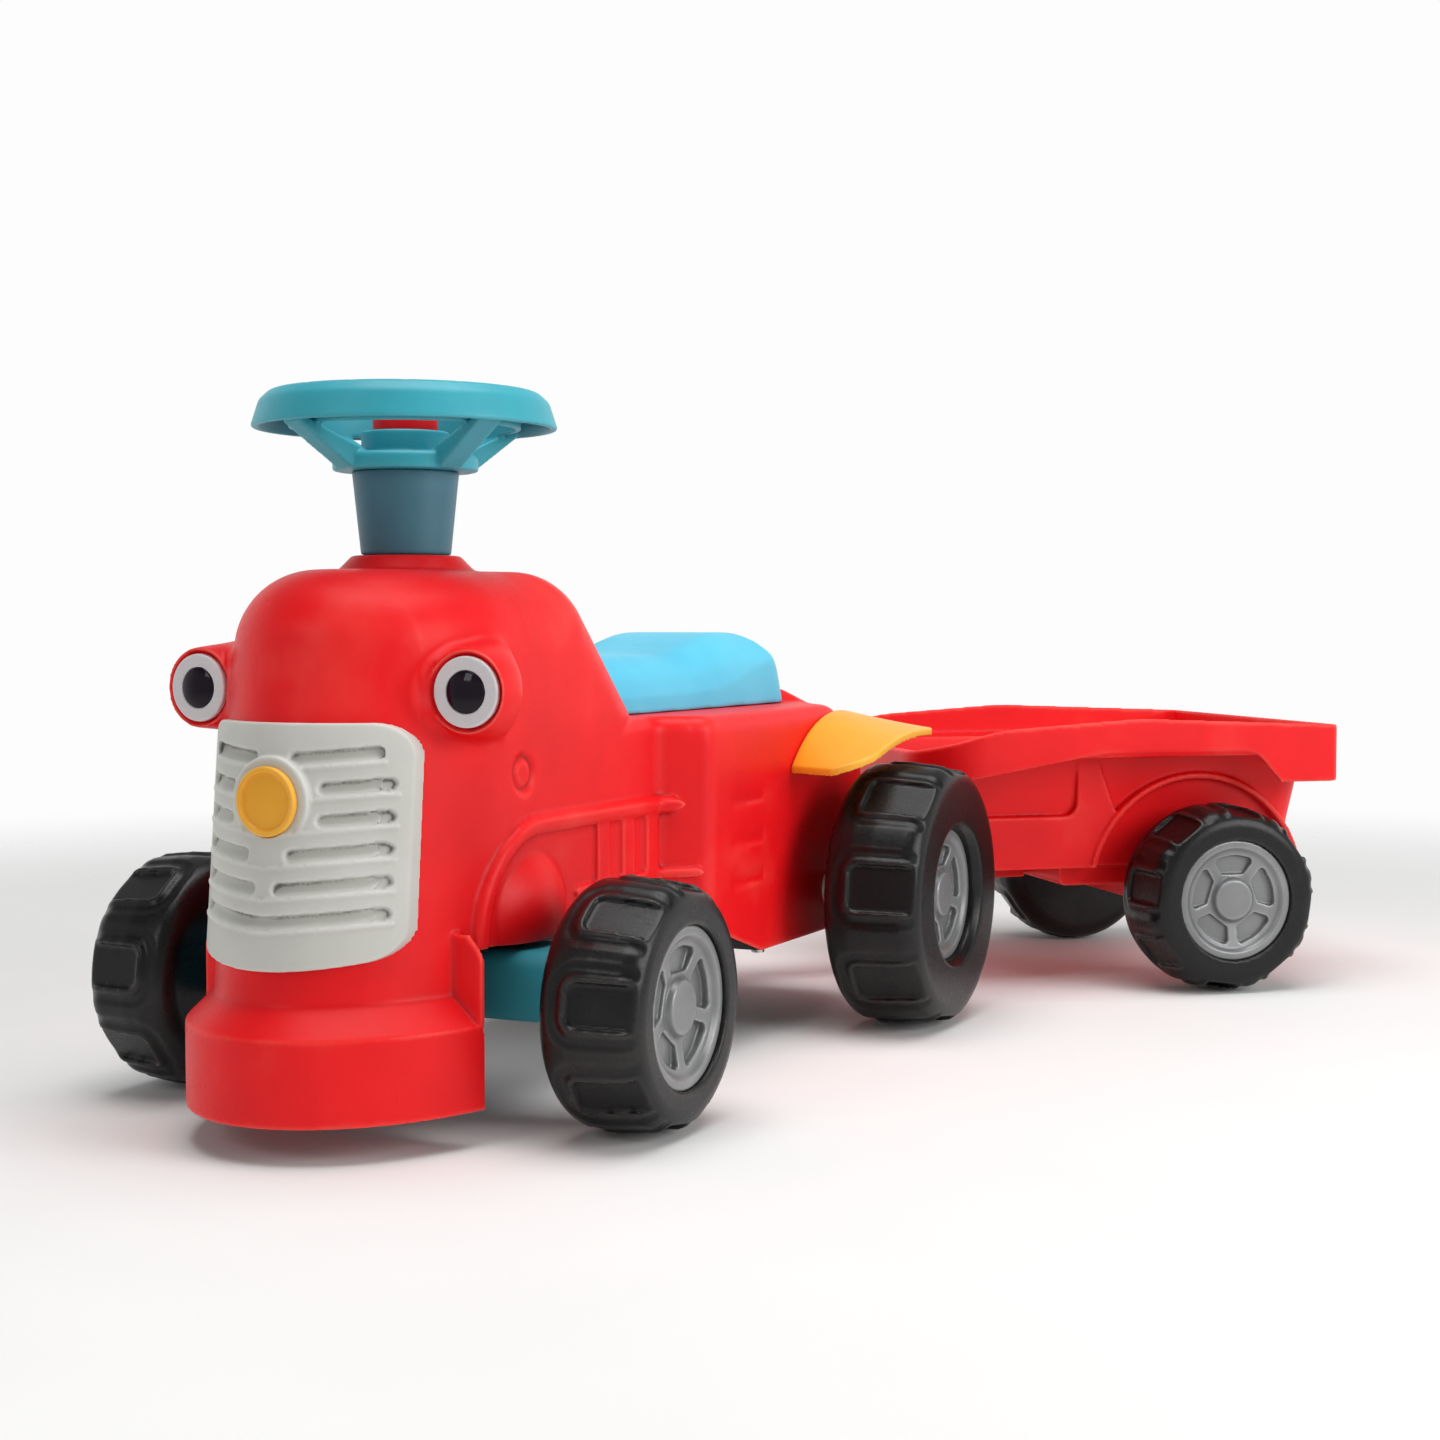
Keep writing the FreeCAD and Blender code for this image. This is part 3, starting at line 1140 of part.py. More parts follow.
def tube_end(width, recess):
    return cap_back(width, recess) - NUT_ROOM


def axle_end(width, recess):
    return tube_end(width, recess) + SIDE_PLAY + NUT_THICKNESS + AXLE_STUB


def tread_pocket(radius, width):
    """A rounded pocket on top of the tread that runs out over the outer shoulder."""
    half = radius * math.radians(POCKET_SPAN) / 2
    floor = radius - POCKET_DEPTH
    far = width + 2 * POCKET_ROUND
    from_above = prism([
        (TREAD_BAND, -half, POCKET_ROUND),
        (far, -half, 0),
        (far, half, 0),
        (TREAD_BAND, half, POCKET_ROUND),
    ], on_xy(0), UP * FAR)
    from_side = prism([
        (TREAD_BAND - PAST, floor, 0),
        (width, floor - POCKET_FALL, 0),
        (far, floor - POCKET_FALL, 0),
        (far, radius + PAST, 0),
        (TREAD_BAND - PAST, radius + PAST, 0),
    ], on_xz(-radius), BACK * 2 * radius)
    return from_above.common(from_side)


def make_tyre(radius, width, recess):
    """A black wheel moulding: tread, inner disc and axle tube, open outside for the hub cap."""
    ledge = cap_back(width, recess)
    side = width - SIDEWALL_DISH
    lip = width - recess + HUB_LIP_RISE
    shape = turned([
        (0, 0, 0),
        (0, radius - SHOULDER_DROP, SHOULDER_ROUND),
        (TREAD_BAND, radius, 0),
        (width / 2, radius, 0),
        (width, radius - SHOULDER_DROP, SHOULDER_ROUND),
        (side, HUB_R + WHEEL_WALL, 0),
        (lip, HUB_R, 0),
        (lip, 0, 0),
    ], ORIGIN, OUT)
    tube_r = WHEEL_TUBE_DIA / 2
    rim_r = radius - SHOULDER_DROP - POCKET_DEPTH - POCKET_FALL - TREAD_WALL
    room = turned([
        (WHEEL_WALL, tube_r, 0),
        (WHEEL_WALL, rim_r, 0),
        (side - WHEEL_WALL, rim_r, 0),
        (side - WHEEL_WALL, HUB_R + WHEEL_WALL, 0),
        (ledge - WHEEL_WALL, HUB_R + WHEEL_WALL, 0),
        (ledge - WHEEL_WALL, tube_r, 0),
    ], ORIGIN, OUT)
    mouth = Part.makeCylinder(HUB_R - WHEEL_WALL, FAR, OUT * tube_end(width, recess), OUT)
    seat = Part.makeCylinder(HUB_R + SEAT_GAP, FAR, OUT * ledge, OUT)
    shape = shape.cut([room, mouth, seat])
    pocket = tread_pocket(radius, width)
    cuts = [pocket.rotated(ORIGIN, OUT, i * 360 / TREAD_POCKETS) for i in range(TREAD_POCKETS)]
    cuts.append(Part.makeCylinder(BORE_R, FAR, OUT * -PAST, OUT))
    return shape.cut(cuts)


def make_hubcap(width, recess):
    """A grey dished cap with a raised lip, spokes between pockets and a round boss."""
    lip = width - recess
    dish = lip - HUB_LIP_RISE
    boss_r = HUB_BOSS_DIA / 2
    boss_top = dish - HUB_DISH + HUB_BOSS_RISE
    back = cap_back(width, recess)
    cap = turned([
        (back, 0, 0),
        (back, HUB_R, 0),
        (lip, HUB_R, HUB_LIP_ROUND),
        (lip, HUB_R - HUB_LIP, HUB_LIP_ROUND),
        (dish, HUB_R - HUB_LIP - HUB_LIP_RISE, 0),
        (dish - HUB_DISH, boss_r + HUB_BOSS_RISE / 2, 0),
        (boss_top, boss_r, HUB_BOSS_ROUND),
        (boss_top, 0, 0),
    ], ORIGIN, OUT)
    inner = boss_r + HUB_BOSS_RISE
    outer = HUB_R - HUB_LIP - 2 * HUB_LIP_RISE - HUB_POCKET_BOW
    lean = math.tan(math.pi / HUB_SPOKES)
    near = inner * lean - HUB_SPOKE_WIDTH / 2
    wide = outer * lean - HUB_SPOKE_WIDTH / 2
    pocket = prism([
        (-near, inner, HUB_POCKET_ROUND / 2),
        (-wide, outer, HUB_POCKET_ROUND),
        (0, outer + HUB_POCKET_BOW, outer),
        (wide, outer, HUB_POCKET_ROUND),
        (near, inner, HUB_POCKET_ROUND / 2),
    ], on_yz(dish - HUB_DISH - HUB_POCKET_DEPTH), OUT * FAR)
    return cap.cut([pocket.rotated(ORIGIN, OUT, i * 360 / HUB_SPOKES) for i in range(HUB_SPOKES)])


def make_axle(half_length, y, z):
    rod = Part.makeCylinder(AXLE_R, 2 * half_length, V(-half_length, y, z), OUT)
    return rod.makeChamfer(AXLE_STUB / 2, edges_where(rod, lambda p: abs(abs(p.x) - half_length) < NEAR))


def make_nuts(seat_x, y, z):
    nut = turned([
        (0, AXLE_R, 0),
        (0, NUT_DIA / 2, 0),
        (NUT_THICKNESS / 2, NUT_DIA / 2, 0),
        (NUT_THICKNESS, NUT_CROWN_DIA / 2, 0),
        (NUT_THICKNESS, AXLE_R, 0),
    ], V(seat_x + SIDE_PLAY, y, z), OUT)
    return Part.makeCompound(pair(nut))


def make_spacers(start, end, y, z):
    return Part.makeCompound(pair(tube(SPACER_DIA / 2, BORE_R, end - start, V(start, y, z), OUT)))


def make_rear_axle_bushes():
    """Flanged bushes pressed into the body's sides from outside."""
    x = SEAT_BODY_HALF_WIDTH
    outer = BORE_R + BUSH_WALL
    sleeve = tube(outer, BORE_R, AXLE_BUSH_LENGTH, V(x - AXLE_BUSH_LENGTH, WHEELBASE, REAR_R), OUT)
    flange = tube(outer + BUSH_FLANGE, BORE_R, BUSH_FLANGE_THICKNESS, V(x, WHEELBASE, REAR_R), OUT)
    return Part.makeCompound(pair(joined([sleeve, flange])))


# Seat and fenders

def seat_block(inset):
    """The seat as a solid: a plan with a rounded top, trimmed by its side view."""
    front = SEAT_FRONT + inset
    rear = SEAT_REAR - inset
    corner = SEAT_CORNER - inset
    side = [(SEAT_NOSE_HALF_WIDTH - inset, front, corner), (SEAT_HALF_WIDTH - inset, rear, corner)]
    plan = side + [(-u, v, r) for u, v, r in reversed(side)]
    top = SEAT_TOP - inset
    floor = SEAT_DECK - inset
    block = prism(plan, on_xy(floor), UP * (top - floor))
    rim = edges_where(block, lambda p: p.z > top - NEAR)
    block = block.makeFillet(SEAT_TOP_ROUND - inset, rim)
    profile = [
        (front - PAST, floor - PAST, 0),
        (rear, floor - PAST, 0),
        (rear, floor, 0),
        (rear - SEAT_TAIL_SLOPE, top, SEAT_TAIL_ROUND),
        (front + SEAT_NOSE_RUN, top, SEAT_NOSE_RUN),
        (front - PAST, top - SEAT_NOSE_DROP, 0),
    ]
    block = block.common(prism(profile, on_yz(-FAR / 2), OUT * FAR))
    return block.cut(bonnet_block(-SEAT_GAP - inset, BUMPER_RIDGE))


def make_seat():
    block = seat_block(0)
    shell = block.cut(seat_block(SEAT_WALL))
    posts = []
    for seat in seat_screw_seats():
        base = V(seat.x, seat.y, SEAT_DECK)
        post = Part.makeCylinder(SCREW_BOSS_DIA / 2, SEAT_HEIGHT - SEAT_WALL / 2, base, UP)
        posts.append(post.common(block))
    return shell.fuse(posts).removeSplitter().cut([screw_hole(seat, UP) for seat in seat_screw_seats()])


def fender_strip(x, front, edge_drop, rear_drop):
    """The fender's section along the wheel, at one distance from the body."""
    def arc(lower):
        return Part.Arc(V(x, front, FENDER_CREST - FENDER_FRONT_DROP - lower),
                        V(x, FENDER_CREST_Y, FENDER_CREST - edge_drop - lower),
                        V(x, FENDER_REAR, FENDER_CREST - rear_drop - lower)).toShape()
    top = arc(0)
    under = arc(FENDER_THICKNESS)
    ends = [Part.makeLine(top.Vertexes[i].Point, under.Vertexes[i].Point) for i in (0, 1)]
    return Part.Wire(Part.__sortEdges__([top, ends[1], under, ends[0]]))


def make_fender():
    """The +X fender: a sloping arched wing with a foot against the body's side."""
    x = SEAT_BODY_HALF_WIDTH + SEAT_GAP
    tip = x + FENDER_REACH
    outer_front = FENDER_FRONT - FENDER_SWEEP
    inner = fender_strip(x, FENDER_FRONT, 0, FENDER_REAR_DROP)
    outer = fender_strip(tip, outer_front, FENDER_EDGE_DROP, FENDER_EDGE_REAR_DROP)
    wing = Part.makeLoft([inner, outer], True, True)
    trim = prism([
        (x - PAST, FENDER_FRONT - PAST, 0),
        (tip, outer_front - PAST, FENDER_CORNER),
        (tip, FENDER_REAR + PAST, FENDER_CORNER),
        (x - PAST, FENDER_REAR + PAST, 0),
    ], on_xy(0), UP * FAR)
    foot = Part.makeBox(FENDER_FOOT_THICKNESS, FENDER_FOOT_LENGTH, FENDER_FOOT_HEIGHT,
                        V(x, FENDER_CREST_Y - FENDER_FOOT_LENGTH / 2, FENDER_FOOT_TOP - FENDER_FOOT_HEIGHT))
    wing = wing.common(trim).fuse(foot).removeSplitter()
    return wing.cut([screw_hole(seat, OUT) for seat in fender_screw_seats()])


# Hitch

def tow_screw_seats():
    return [V(0, TONGUE_FRONT + SCREW_EDGE, BODY_BOTTOM), V(0, BODY_REAR - 2 * SCREW_EDGE, BODY_BOTTOM)]


def make_tow_tongue():
    half = TONGUE_WIDTH / 2
    bar = prism([
        (-half, TONGUE_FRONT, 0),
        (half, TONGUE_FRONT, 0),
        (half, HITCH_Y + half, half * END_SHARE),
        (-half, HITCH_Y + half, half * END_SHARE),
    ], on_xy(TONGUE_BOTTOM), UP * TONGUE_THICKNESS)
    hole = Part.makeCylinder(PIN_DIA / 2 + SEAT_GAP, FAR, V(0, HITCH_Y, 0), UP)
    return bar.cut([hole] + [screw_hole(seat, UP) for seat in tow_screw_seats()])


def make_hitch_pin():
    """The pin, with a wide cap above the drawbar and a head below the tongue."""
    cap = DRAWBAR_TOP + SIDE_PLAY
    return turned([
        (TONGUE_BOTTOM - PIN_HEAD_HEIGHT, 0, 0),
        (TONGUE_BOTTOM - PIN_HEAD_HEIGHT, PIN_HEAD_DIA / 2, PIN_EDGE_ROUND),
        (TONGUE_BOTTOM, PIN_HEAD_DIA / 2, 0),
        (TONGUE_BOTTOM, PIN_DIA / 2, 0),
        (cap, PIN_DIA / 2, 0),
        (cap, PIN_CAP_DIA / 2, PIN_EDGE_ROUND),
        (cap + PIN_CAP_HEIGHT, PIN_CAP_DIA / 2, PIN_CAP_ROUND),
        (cap + PIN_CAP_HEIGHT, 0, 0),
    ], V(0, HITCH_Y, 0), UP)


# Trailer

def make_trailer_drawbar():
    half = DRAWBAR_WIDTH / 2
    eye = Part.makeCylinder(DRAWBAR_EYE_DIA / 2, DRAWBAR_THICKNESS, V(0, 0, DRAWBAR_BOTTOM), UP)
    bar = Part.makeBox(DRAWBAR_WIDTH, BLOCK_FRONT - SEAT_GAP, DRAWBAR_THICKNESS, V(-half, 0, DRAWBAR_BOTTOM))
    bore = Part.makeCylinder(PIN_DIA / 2 + RUNNING_FIT, FAR, ORIGIN, UP)
    holes = [screw_hole(seat, UP) for seat in drawbar_screw_seats()]
    holes += [head_hole(seat, UP) for seat in drawbar_screw_seats()]
    return joined([eye, bar]).cut([bore] + holes)


def drawbar_screw_seats():
    z = FLOOR_SCREW_SEAT
    return [V(0, TUB_FRONT + 2 * SCREW_EDGE, z), V(0, BLOCK_FRONT - 2 * SCREW_EDGE, z)]


def block_screw_seats():
    edge = BLOCK_WALL + SCREW_BOSS_DIA / 2 - SCREW_BOSS_BITE
    x = BLOCK_HALF_WIDTH - edge
    places = [(s * x, y) for s in (1, -1) for y in (BLOCK_FRONT + edge, BLOCK_REAR - edge)]
    return [V(x, y, FLOOR_SCREW_SEAT) for x, y in places]


def make_trailer_axle_block():
    """A hollow block under the tub with a keel that holds the axle."""
    keel = KEEL_LENGTH / 2
    ramp = keel + BLOCK_BOTTOM - KEEL_BOTTOM
    axle = V(0, TRAILER_AXLE_Y, FRONT_R)
    block = prism([
        (BLOCK_FRONT, BLOCK_BOTTOM, BLOCK_ROUND),
        (axle.y - ramp, BLOCK_BOTTOM, 0),
        (axle.y - keel, KEEL_BOTTOM, BLOCK_ROUND),
        (axle.y + keel, KEEL_BOTTOM, BLOCK_ROUND),
        (axle.y + ramp, BLOCK_BOTTOM, 0),
        (BLOCK_REAR, BLOCK_BOTTOM, BLOCK_ROUND),
        (BLOCK_REAR, BLOCK_TOP, 0),
        (BLOCK_FRONT, BLOCK_TOP, 0),
    ], on_yz(-BLOCK_HALF_WIDTH), OUT * 2 * BLOCK_HALF_WIDTH)
    corner = V(BLOCK_WALL - BLOCK_HALF_WIDTH, BLOCK_FRONT + BLOCK_WALL, axle.z + AXLE_R + BLOCK_WALL)
    room = Part.makeBox(2 * (BLOCK_HALF_WIDTH - BLOCK_WALL), BLOCK_REAR - BLOCK_FRONT - 2 * BLOCK_WALL, FAR,
                        corner)
    posts = []
    for seat in block_screw_seats():
        base = V(seat.x, seat.y, BLOCK_BOTTOM)
        posts.append(Part.makeCylinder(SCREW_BOSS_DIA / 2, BLOCK_DEPTH, base, UP).common(block))
    holes = [screw_hole(seat, UP) for seat in block_screw_seats()]
    holes += [head_hole(seat, UP) for seat in block_screw_seats()]
    holes.append(Part.makeCylinder(AXLE_R + SEAT_GAP, FAR, axle - OUT * (FAR / 2), OUT))
    return block.cut(room).fuse(posts).removeSplitter().cut(holes)


def box_plan(half_width, front, rear, front_corner, rear_corner):
    return [
        (half_width, front, front_corner),
        (half_width, rear, rear_corner),
        (-half_width, rear, rear_corner),
        (-half_width, front, front_corner),
    ]


def tub_bin(inset):
    """The deep middle of the tub, with leaning walls; an inset gives the room inside."""
    rise = TRAY_SHELF + TUB_WALL - TUB_BOTTOM
    floor = TUB_FLOOR if inset else 0
    rings = []
    for height in (floor, rise):
        out = TUB_DRAFT * height / rise - inset
        corner = TUB_CORNER - inset
        plan = box_plan(TUB_HALF_WIDTH + out, TUB_FRONT - out, TUB_REAR + out, corner, corner)
        rings.append(outline(plan, on_xy(TUB_BOTTOM + height)))
    return Part.makeLoft(rings, True, True)


def tray_plan(inset):
    return box_plan(TRAY_HALF_WIDTH - inset, TRAY_FRONT + inset, TRAY_REAR - inset,
                    TRAY_FRONT_CORNER - inset, TRAY_REAR_CORNER - inset)


def tray_band():
    """The tray's outer band as a solid: a plan outline trimmed by a side view."""
    axle = TRAILER_AXLE_Y
    front = TRAY_FRONT - PAST
    rear = TRAY_REAR + PAST
    side = [
        (front, TRAY_SHELF - VALANCE_FRONT_DROP, 0),
        (axle - VALANCE_ARCH_AHEAD, TRAY_SHELF + VALANCE_ARCH_RISE, VALANCE_FRONT_ROUND),
        (axle + VALANCE_ARCH_BEHIND, TRAY_SHELF + VALANCE_ARCH_RISE, VALANCE_ROUND),
        (axle + VALANCE_STEP_BEHIND, TRAY_SHELF - VALANCE_REAR_DROP, 0),
        (rear, TRAY_SHELF - VALANCE_REAR_DROP, 0),
        (rear, TRAY_SHELF + TRAY_REAR_RISE, 0),
        (TRAY_CREST_Y, TRAY_SHELF + TRAY_CREST_RISE, TRAY_CREST_ROUND),
        (TRAY_FRONT + TRAY_SHOULDER_BACK, TRAY_SHELF + TRAY_SHOULDER_RISE, TRAY_SHOULDER_ROUND),
        (front, TRAY_SHELF + TRAY_FRONT_RISE, 0),
    ]
    block = prism(tray_plan(0), on_xy(0), UP * FAR)
    return block.common(prism(side, on_yz(-FAR / 2), OUT * FAR))


def tub_relief():
    """Wheel-arch lip, lower skirt and pillar on the +X side of the tub."""
    inner = TUB_HALF_WIDTH - TUB_WALL
    above = Part.makeBox(FAR, FAR, FAR, V(0, -FAR / 2, TUB_BOTTOM))
    centre = V(inner, TRAILER_AXLE_Y, FRONT_R)
    arch = tube(ARCH_RADIUS + ARCH_LIP, ARCH_RADIUS, ARCH_REACH - inner, centre, OUT).common(above)
    clear = Part.makeCylinder(ARCH_RADIUS + ARCH_LIP / 2, FAR, V(0, TRAILER_AXLE_Y, FRONT_R), OUT)
    skirt = prism([
        (SKIRT_FRONT + SKIRT_SLANT, TUB_BOTTOM, SKIRT_ROUND),
        (TRAILER_AXLE_Y - ARCH_RADIUS / 2, TUB_BOTTOM, 0),
        (TRAILER_AXLE_Y - ARCH_RADIUS / 2, SKIRT_TOP, 0),
        (PILLAR_Y + PILLAR_FOOT / 2, SKIRT_TOP, SKIRT_ROUND),
        (PILLAR_Y + PILLAR_WIDTH / 2, TRAY_SHELF + PAST, 0),
        (PILLAR_Y - PILLAR_WIDTH / 2, TRAY_SHELF + PAST, 0),
        (PILLAR_Y - PILLAR_WIDTH / 2, SKIRT_TOP, SKIRT_ROUND),
        (SKIRT_FRONT, SKIRT_TOP, SKIRT_ROUND / 2),
    ], on_yz(inner), OUT * (SKIRT_REACH - inner))
    return [arch, skirt.cut(clear)]


def make_trailer_tub():
    band = tray_band()
    above = prism(tray_plan(TUB_WALL), on_xy(TRAY_SHELF + TUB_WALL), UP * FAR)
    below = prism(tray_plan(TUB_WALL), on_xy(0), UP * TRAY_SHELF)
    shelf = prism(tray_plan(TUB_WALL / 2), on_xy(TRAY_SHELF), UP * TUB_WALL)
    ring = band.cut([above, below])
    tub = joined([ring, shelf, tub_bin(0)] + pairs(tub_relief()))
    tub = tub.cut(tub_bin(TUB_WALL))
    return tub.cut([screw_hole(seat, UP) for seat in drawbar_screw_seats() + block_screw_seats()])


def on_trailer(shape):
    """Moves a piece from the trailer's own frame to the hitch, swung round."""
    return shape.rotated(ORIGIN, UP, -TRAILER_SWING).translated(V(0, HITCH_Y, 0))


# Putting it together

def wheel_pieces():
    """Every tyre, hub cap, axle and push nut, by node name."""
    sets = [
        ("front", FRONT_R, FRONT_WHEEL_WIDTH, FRONT_HUB_RECESS, FRONT_INNER_FACE, 0.0, None),
        ("rear", REAR_R, REAR_WHEEL_WIDTH, REAR_HUB_RECESS, REAR_INNER_FACE, WHEELBASE, None),
        ("trailer", FRONT_R, FRONT_WHEEL_WIDTH, FRONT_HUB_RECESS, TRAILER_INNER_FACE, TRAILER_AXLE_Y,
         on_trailer),
    ]
    pieces = {}
    for name, radius, width, recess, face, y, move in sets:
        centre = V(face, y, radius)
        made = {
            name + "_tyre": make_tyre(radius, width, recess).translated(centre),
            name + "_hubcap": make_hubcap(width, recess).translated(centre),
        }
        for node, left in made.items():
            pieces[node + "_left"] = left
            pieces[node + "_right"] = mirrored(left)
        pieces[name + "_axle"] = make_axle(face + axle_end(width, recess), y, radius)
        pieces[name + "_axle_nuts"] = make_nuts(face + tube_end(width, recess), y, radius)
        if move:
            pieces.update({node: move(shape) for node, shape in pieces.items() if node.startswith(name)})
    return pieces


def screws(seats, axis):
    return Part.makeCompound([screw(seat, axis) for seat in seats])


def build():
    """Every node's shape, before the origin is moved."""
    nodes = {
        "body_shell": make_body_shell(),
        "underbody_plate": make_underbody_plate(),
        "body_screws": screws(body_screw_seats(), UP),
        "front_grille": make_front_grille(),
        "grille_badge": make_grille_badge(),
        "seat": make_seat(),
        "seat_screws": screws(seat_screw_seats(), UP),
        "fender_screws": Part.makeCompound(pairs([screw(seat, OUT) for seat in fender_screw_seats()])),
        "column_bush_upper": make_column_bush_upper(),
        "column_bush_lower": make_column_bush_lower(),
        "rear_axle_bushes": make_rear_axle_bushes(),
        "rear_axle_spacers": make_spacers(SEAT_BODY_HALF_WIDTH + BUSH_FLANGE_THICKNESS + SEAT_GAP,
                                          REAR_INNER_FACE - SIDE_PLAY, WHEELBASE, REAR_R),
        "tow_tongue": make_tow_tongue(),
        "tow_screws": screws(tow_screw_seats(), UP),
        "hitch_pin": make_hitch_pin(),
        "steering_wheel": make_steering_wheel(),
        "steering_column": make_steering_column(),
        "steering_screw": screw(steering_screw_seat(), UP * -1),
        "horn_button": make_horn_button(),
        "horn_bellows": make_horn_bellows(),
        "front_axle_carrier": make_front_axle_carrier(),
        "carrier_pin": make_carrier_pin(),
        "trailer_tub": on_trailer(make_trailer_tub()),
        "trailer_drawbar": on_trailer(make_trailer_drawbar()),
        "drawbar_screws": on_trailer(screws(drawbar_screw_seats(), UP)),
        "trailer_axle_block": on_trailer(make_trailer_axle_block()),
        "block_screws": on_trailer(screws(block_screw_seats(), UP)),
        "trailer_axle_spacers": on_trailer(make_spacers(
            BLOCK_HALF_WIDTH + SEAT_GAP, TRAILER_INNER_FACE - SIDE_PLAY, TRAILER_AXLE_Y, FRONT_R)),
    }
    sided = {
        "headlamp_bezel": make_headlamp_bezel(),
        "headlamp_lens": make_headlamp_lens(),
        "fender": make_fender(),
    }
    for name, left in sided.items():
        nodes[name + "_left"] = left
        nodes[name + "_right"] = mirrored(left)
    nodes.update(wheel_pieces())
    return nodes


def footprint_centre(nodes):
    """The middle of the whole footprint, where the origin goes."""
    box = FreeCAD.BoundBox()
    for shape in nodes.values():
        box.add(shape.optimalBoundingBox(False, False))
    return V(box.Center.x, box.Center.y, 0)


os.makedirs("parts", exist_ok=True)
nodes = build()
centre = footprint_centre(nodes)
for name, shape in nodes.items():
    shape.translated(centre * -1).exportStep("parts/" + name + ".step")
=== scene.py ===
import json
import math

import bpy
import numpy as np
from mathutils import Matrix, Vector
from mathutils.bvhtree import BVHTree


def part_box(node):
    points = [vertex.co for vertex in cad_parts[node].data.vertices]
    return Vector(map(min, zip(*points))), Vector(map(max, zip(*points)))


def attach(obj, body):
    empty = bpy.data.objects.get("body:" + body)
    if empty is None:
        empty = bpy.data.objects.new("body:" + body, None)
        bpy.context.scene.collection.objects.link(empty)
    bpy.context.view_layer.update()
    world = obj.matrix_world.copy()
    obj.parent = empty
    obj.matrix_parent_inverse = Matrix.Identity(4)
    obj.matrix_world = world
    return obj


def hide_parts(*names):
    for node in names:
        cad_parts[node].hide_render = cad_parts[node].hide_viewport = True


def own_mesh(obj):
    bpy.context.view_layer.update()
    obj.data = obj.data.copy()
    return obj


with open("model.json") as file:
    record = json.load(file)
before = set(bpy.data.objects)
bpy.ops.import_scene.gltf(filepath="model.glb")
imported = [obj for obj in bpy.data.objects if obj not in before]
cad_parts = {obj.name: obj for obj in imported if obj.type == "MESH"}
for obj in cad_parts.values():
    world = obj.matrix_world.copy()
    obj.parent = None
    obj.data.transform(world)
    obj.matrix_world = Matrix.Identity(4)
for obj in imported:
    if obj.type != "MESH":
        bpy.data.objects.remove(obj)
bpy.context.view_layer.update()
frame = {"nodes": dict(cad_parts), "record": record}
nodes = frame["nodes"]
body_of = {n: b for b, members in frame["record"]["behaviour"]["bodies"].items() for n in members}
MM = 0.001
SIDES = ("left", "right")
AXLES = ("front", "rear", "trailer")


# Materials

def linear(hex_colour):
    """An sRGB hex colour as linear RGBA."""
    channels = [int(hex_colour[i:i + 2], 16) / 255 for i in (1, 3, 5)]
    return [c / 12.92 if c <= 0.04045 else ((c + 0.055) / 1.055) ** 2.4 for c in channels] + [1]


def add(tree, kind, settings, inputs):
    """Adds a node with its settings; each input, by name or place, is a value or the socket that feeds it."""
    made = tree.nodes.new(kind)
    for name, value in settings.items():
        if name == "stops":
            points = made.color_ramp.elements
            while len(points) < len(value):
                points.new(1)
            for point, (place, colour) in zip(points, value):
                point.position = place
                point.color = linear(colour)
        else:
            setattr(made, name, value)
    for name, value in inputs.items():
        if isinstance(value, bpy.types.NodeSocket):
            tree.links.new(value, made.inputs[name])
        else:
            made.inputs[name].default_value = value
    return made


# The grain and the rub marks are drawn coarser than real ones, which would be too fine to show.
GRAIN_DEPTH = 0.1 * MM
GRAIN_SPAN = (0.3, 0.7)        # noise that counts as the grain's floor and top
RUB_LENGTH = 55 * MM
RUB_WIDTH = 1.6 * MM
RUB_TURN = (0.3, 0.2, 0.5)     # radians; rub marks run along no edge
RUB_SPAN = (0.6, 0.75)         # noise at which a rub mark starts and is full
RUB_DULLS = 0.1                # roughness that a rub mark adds
DRIFT_SHARE = 0.7              # of the colour's whole range
# Pointiness at which creases get their full painted shade and edges their full paler tone, partly wear and partly
# painted highlight.
WEAR_HIGHLIGHT_SHADE_SPAN = (0.42, 0.58)       # pointiness of a crease and of an edge


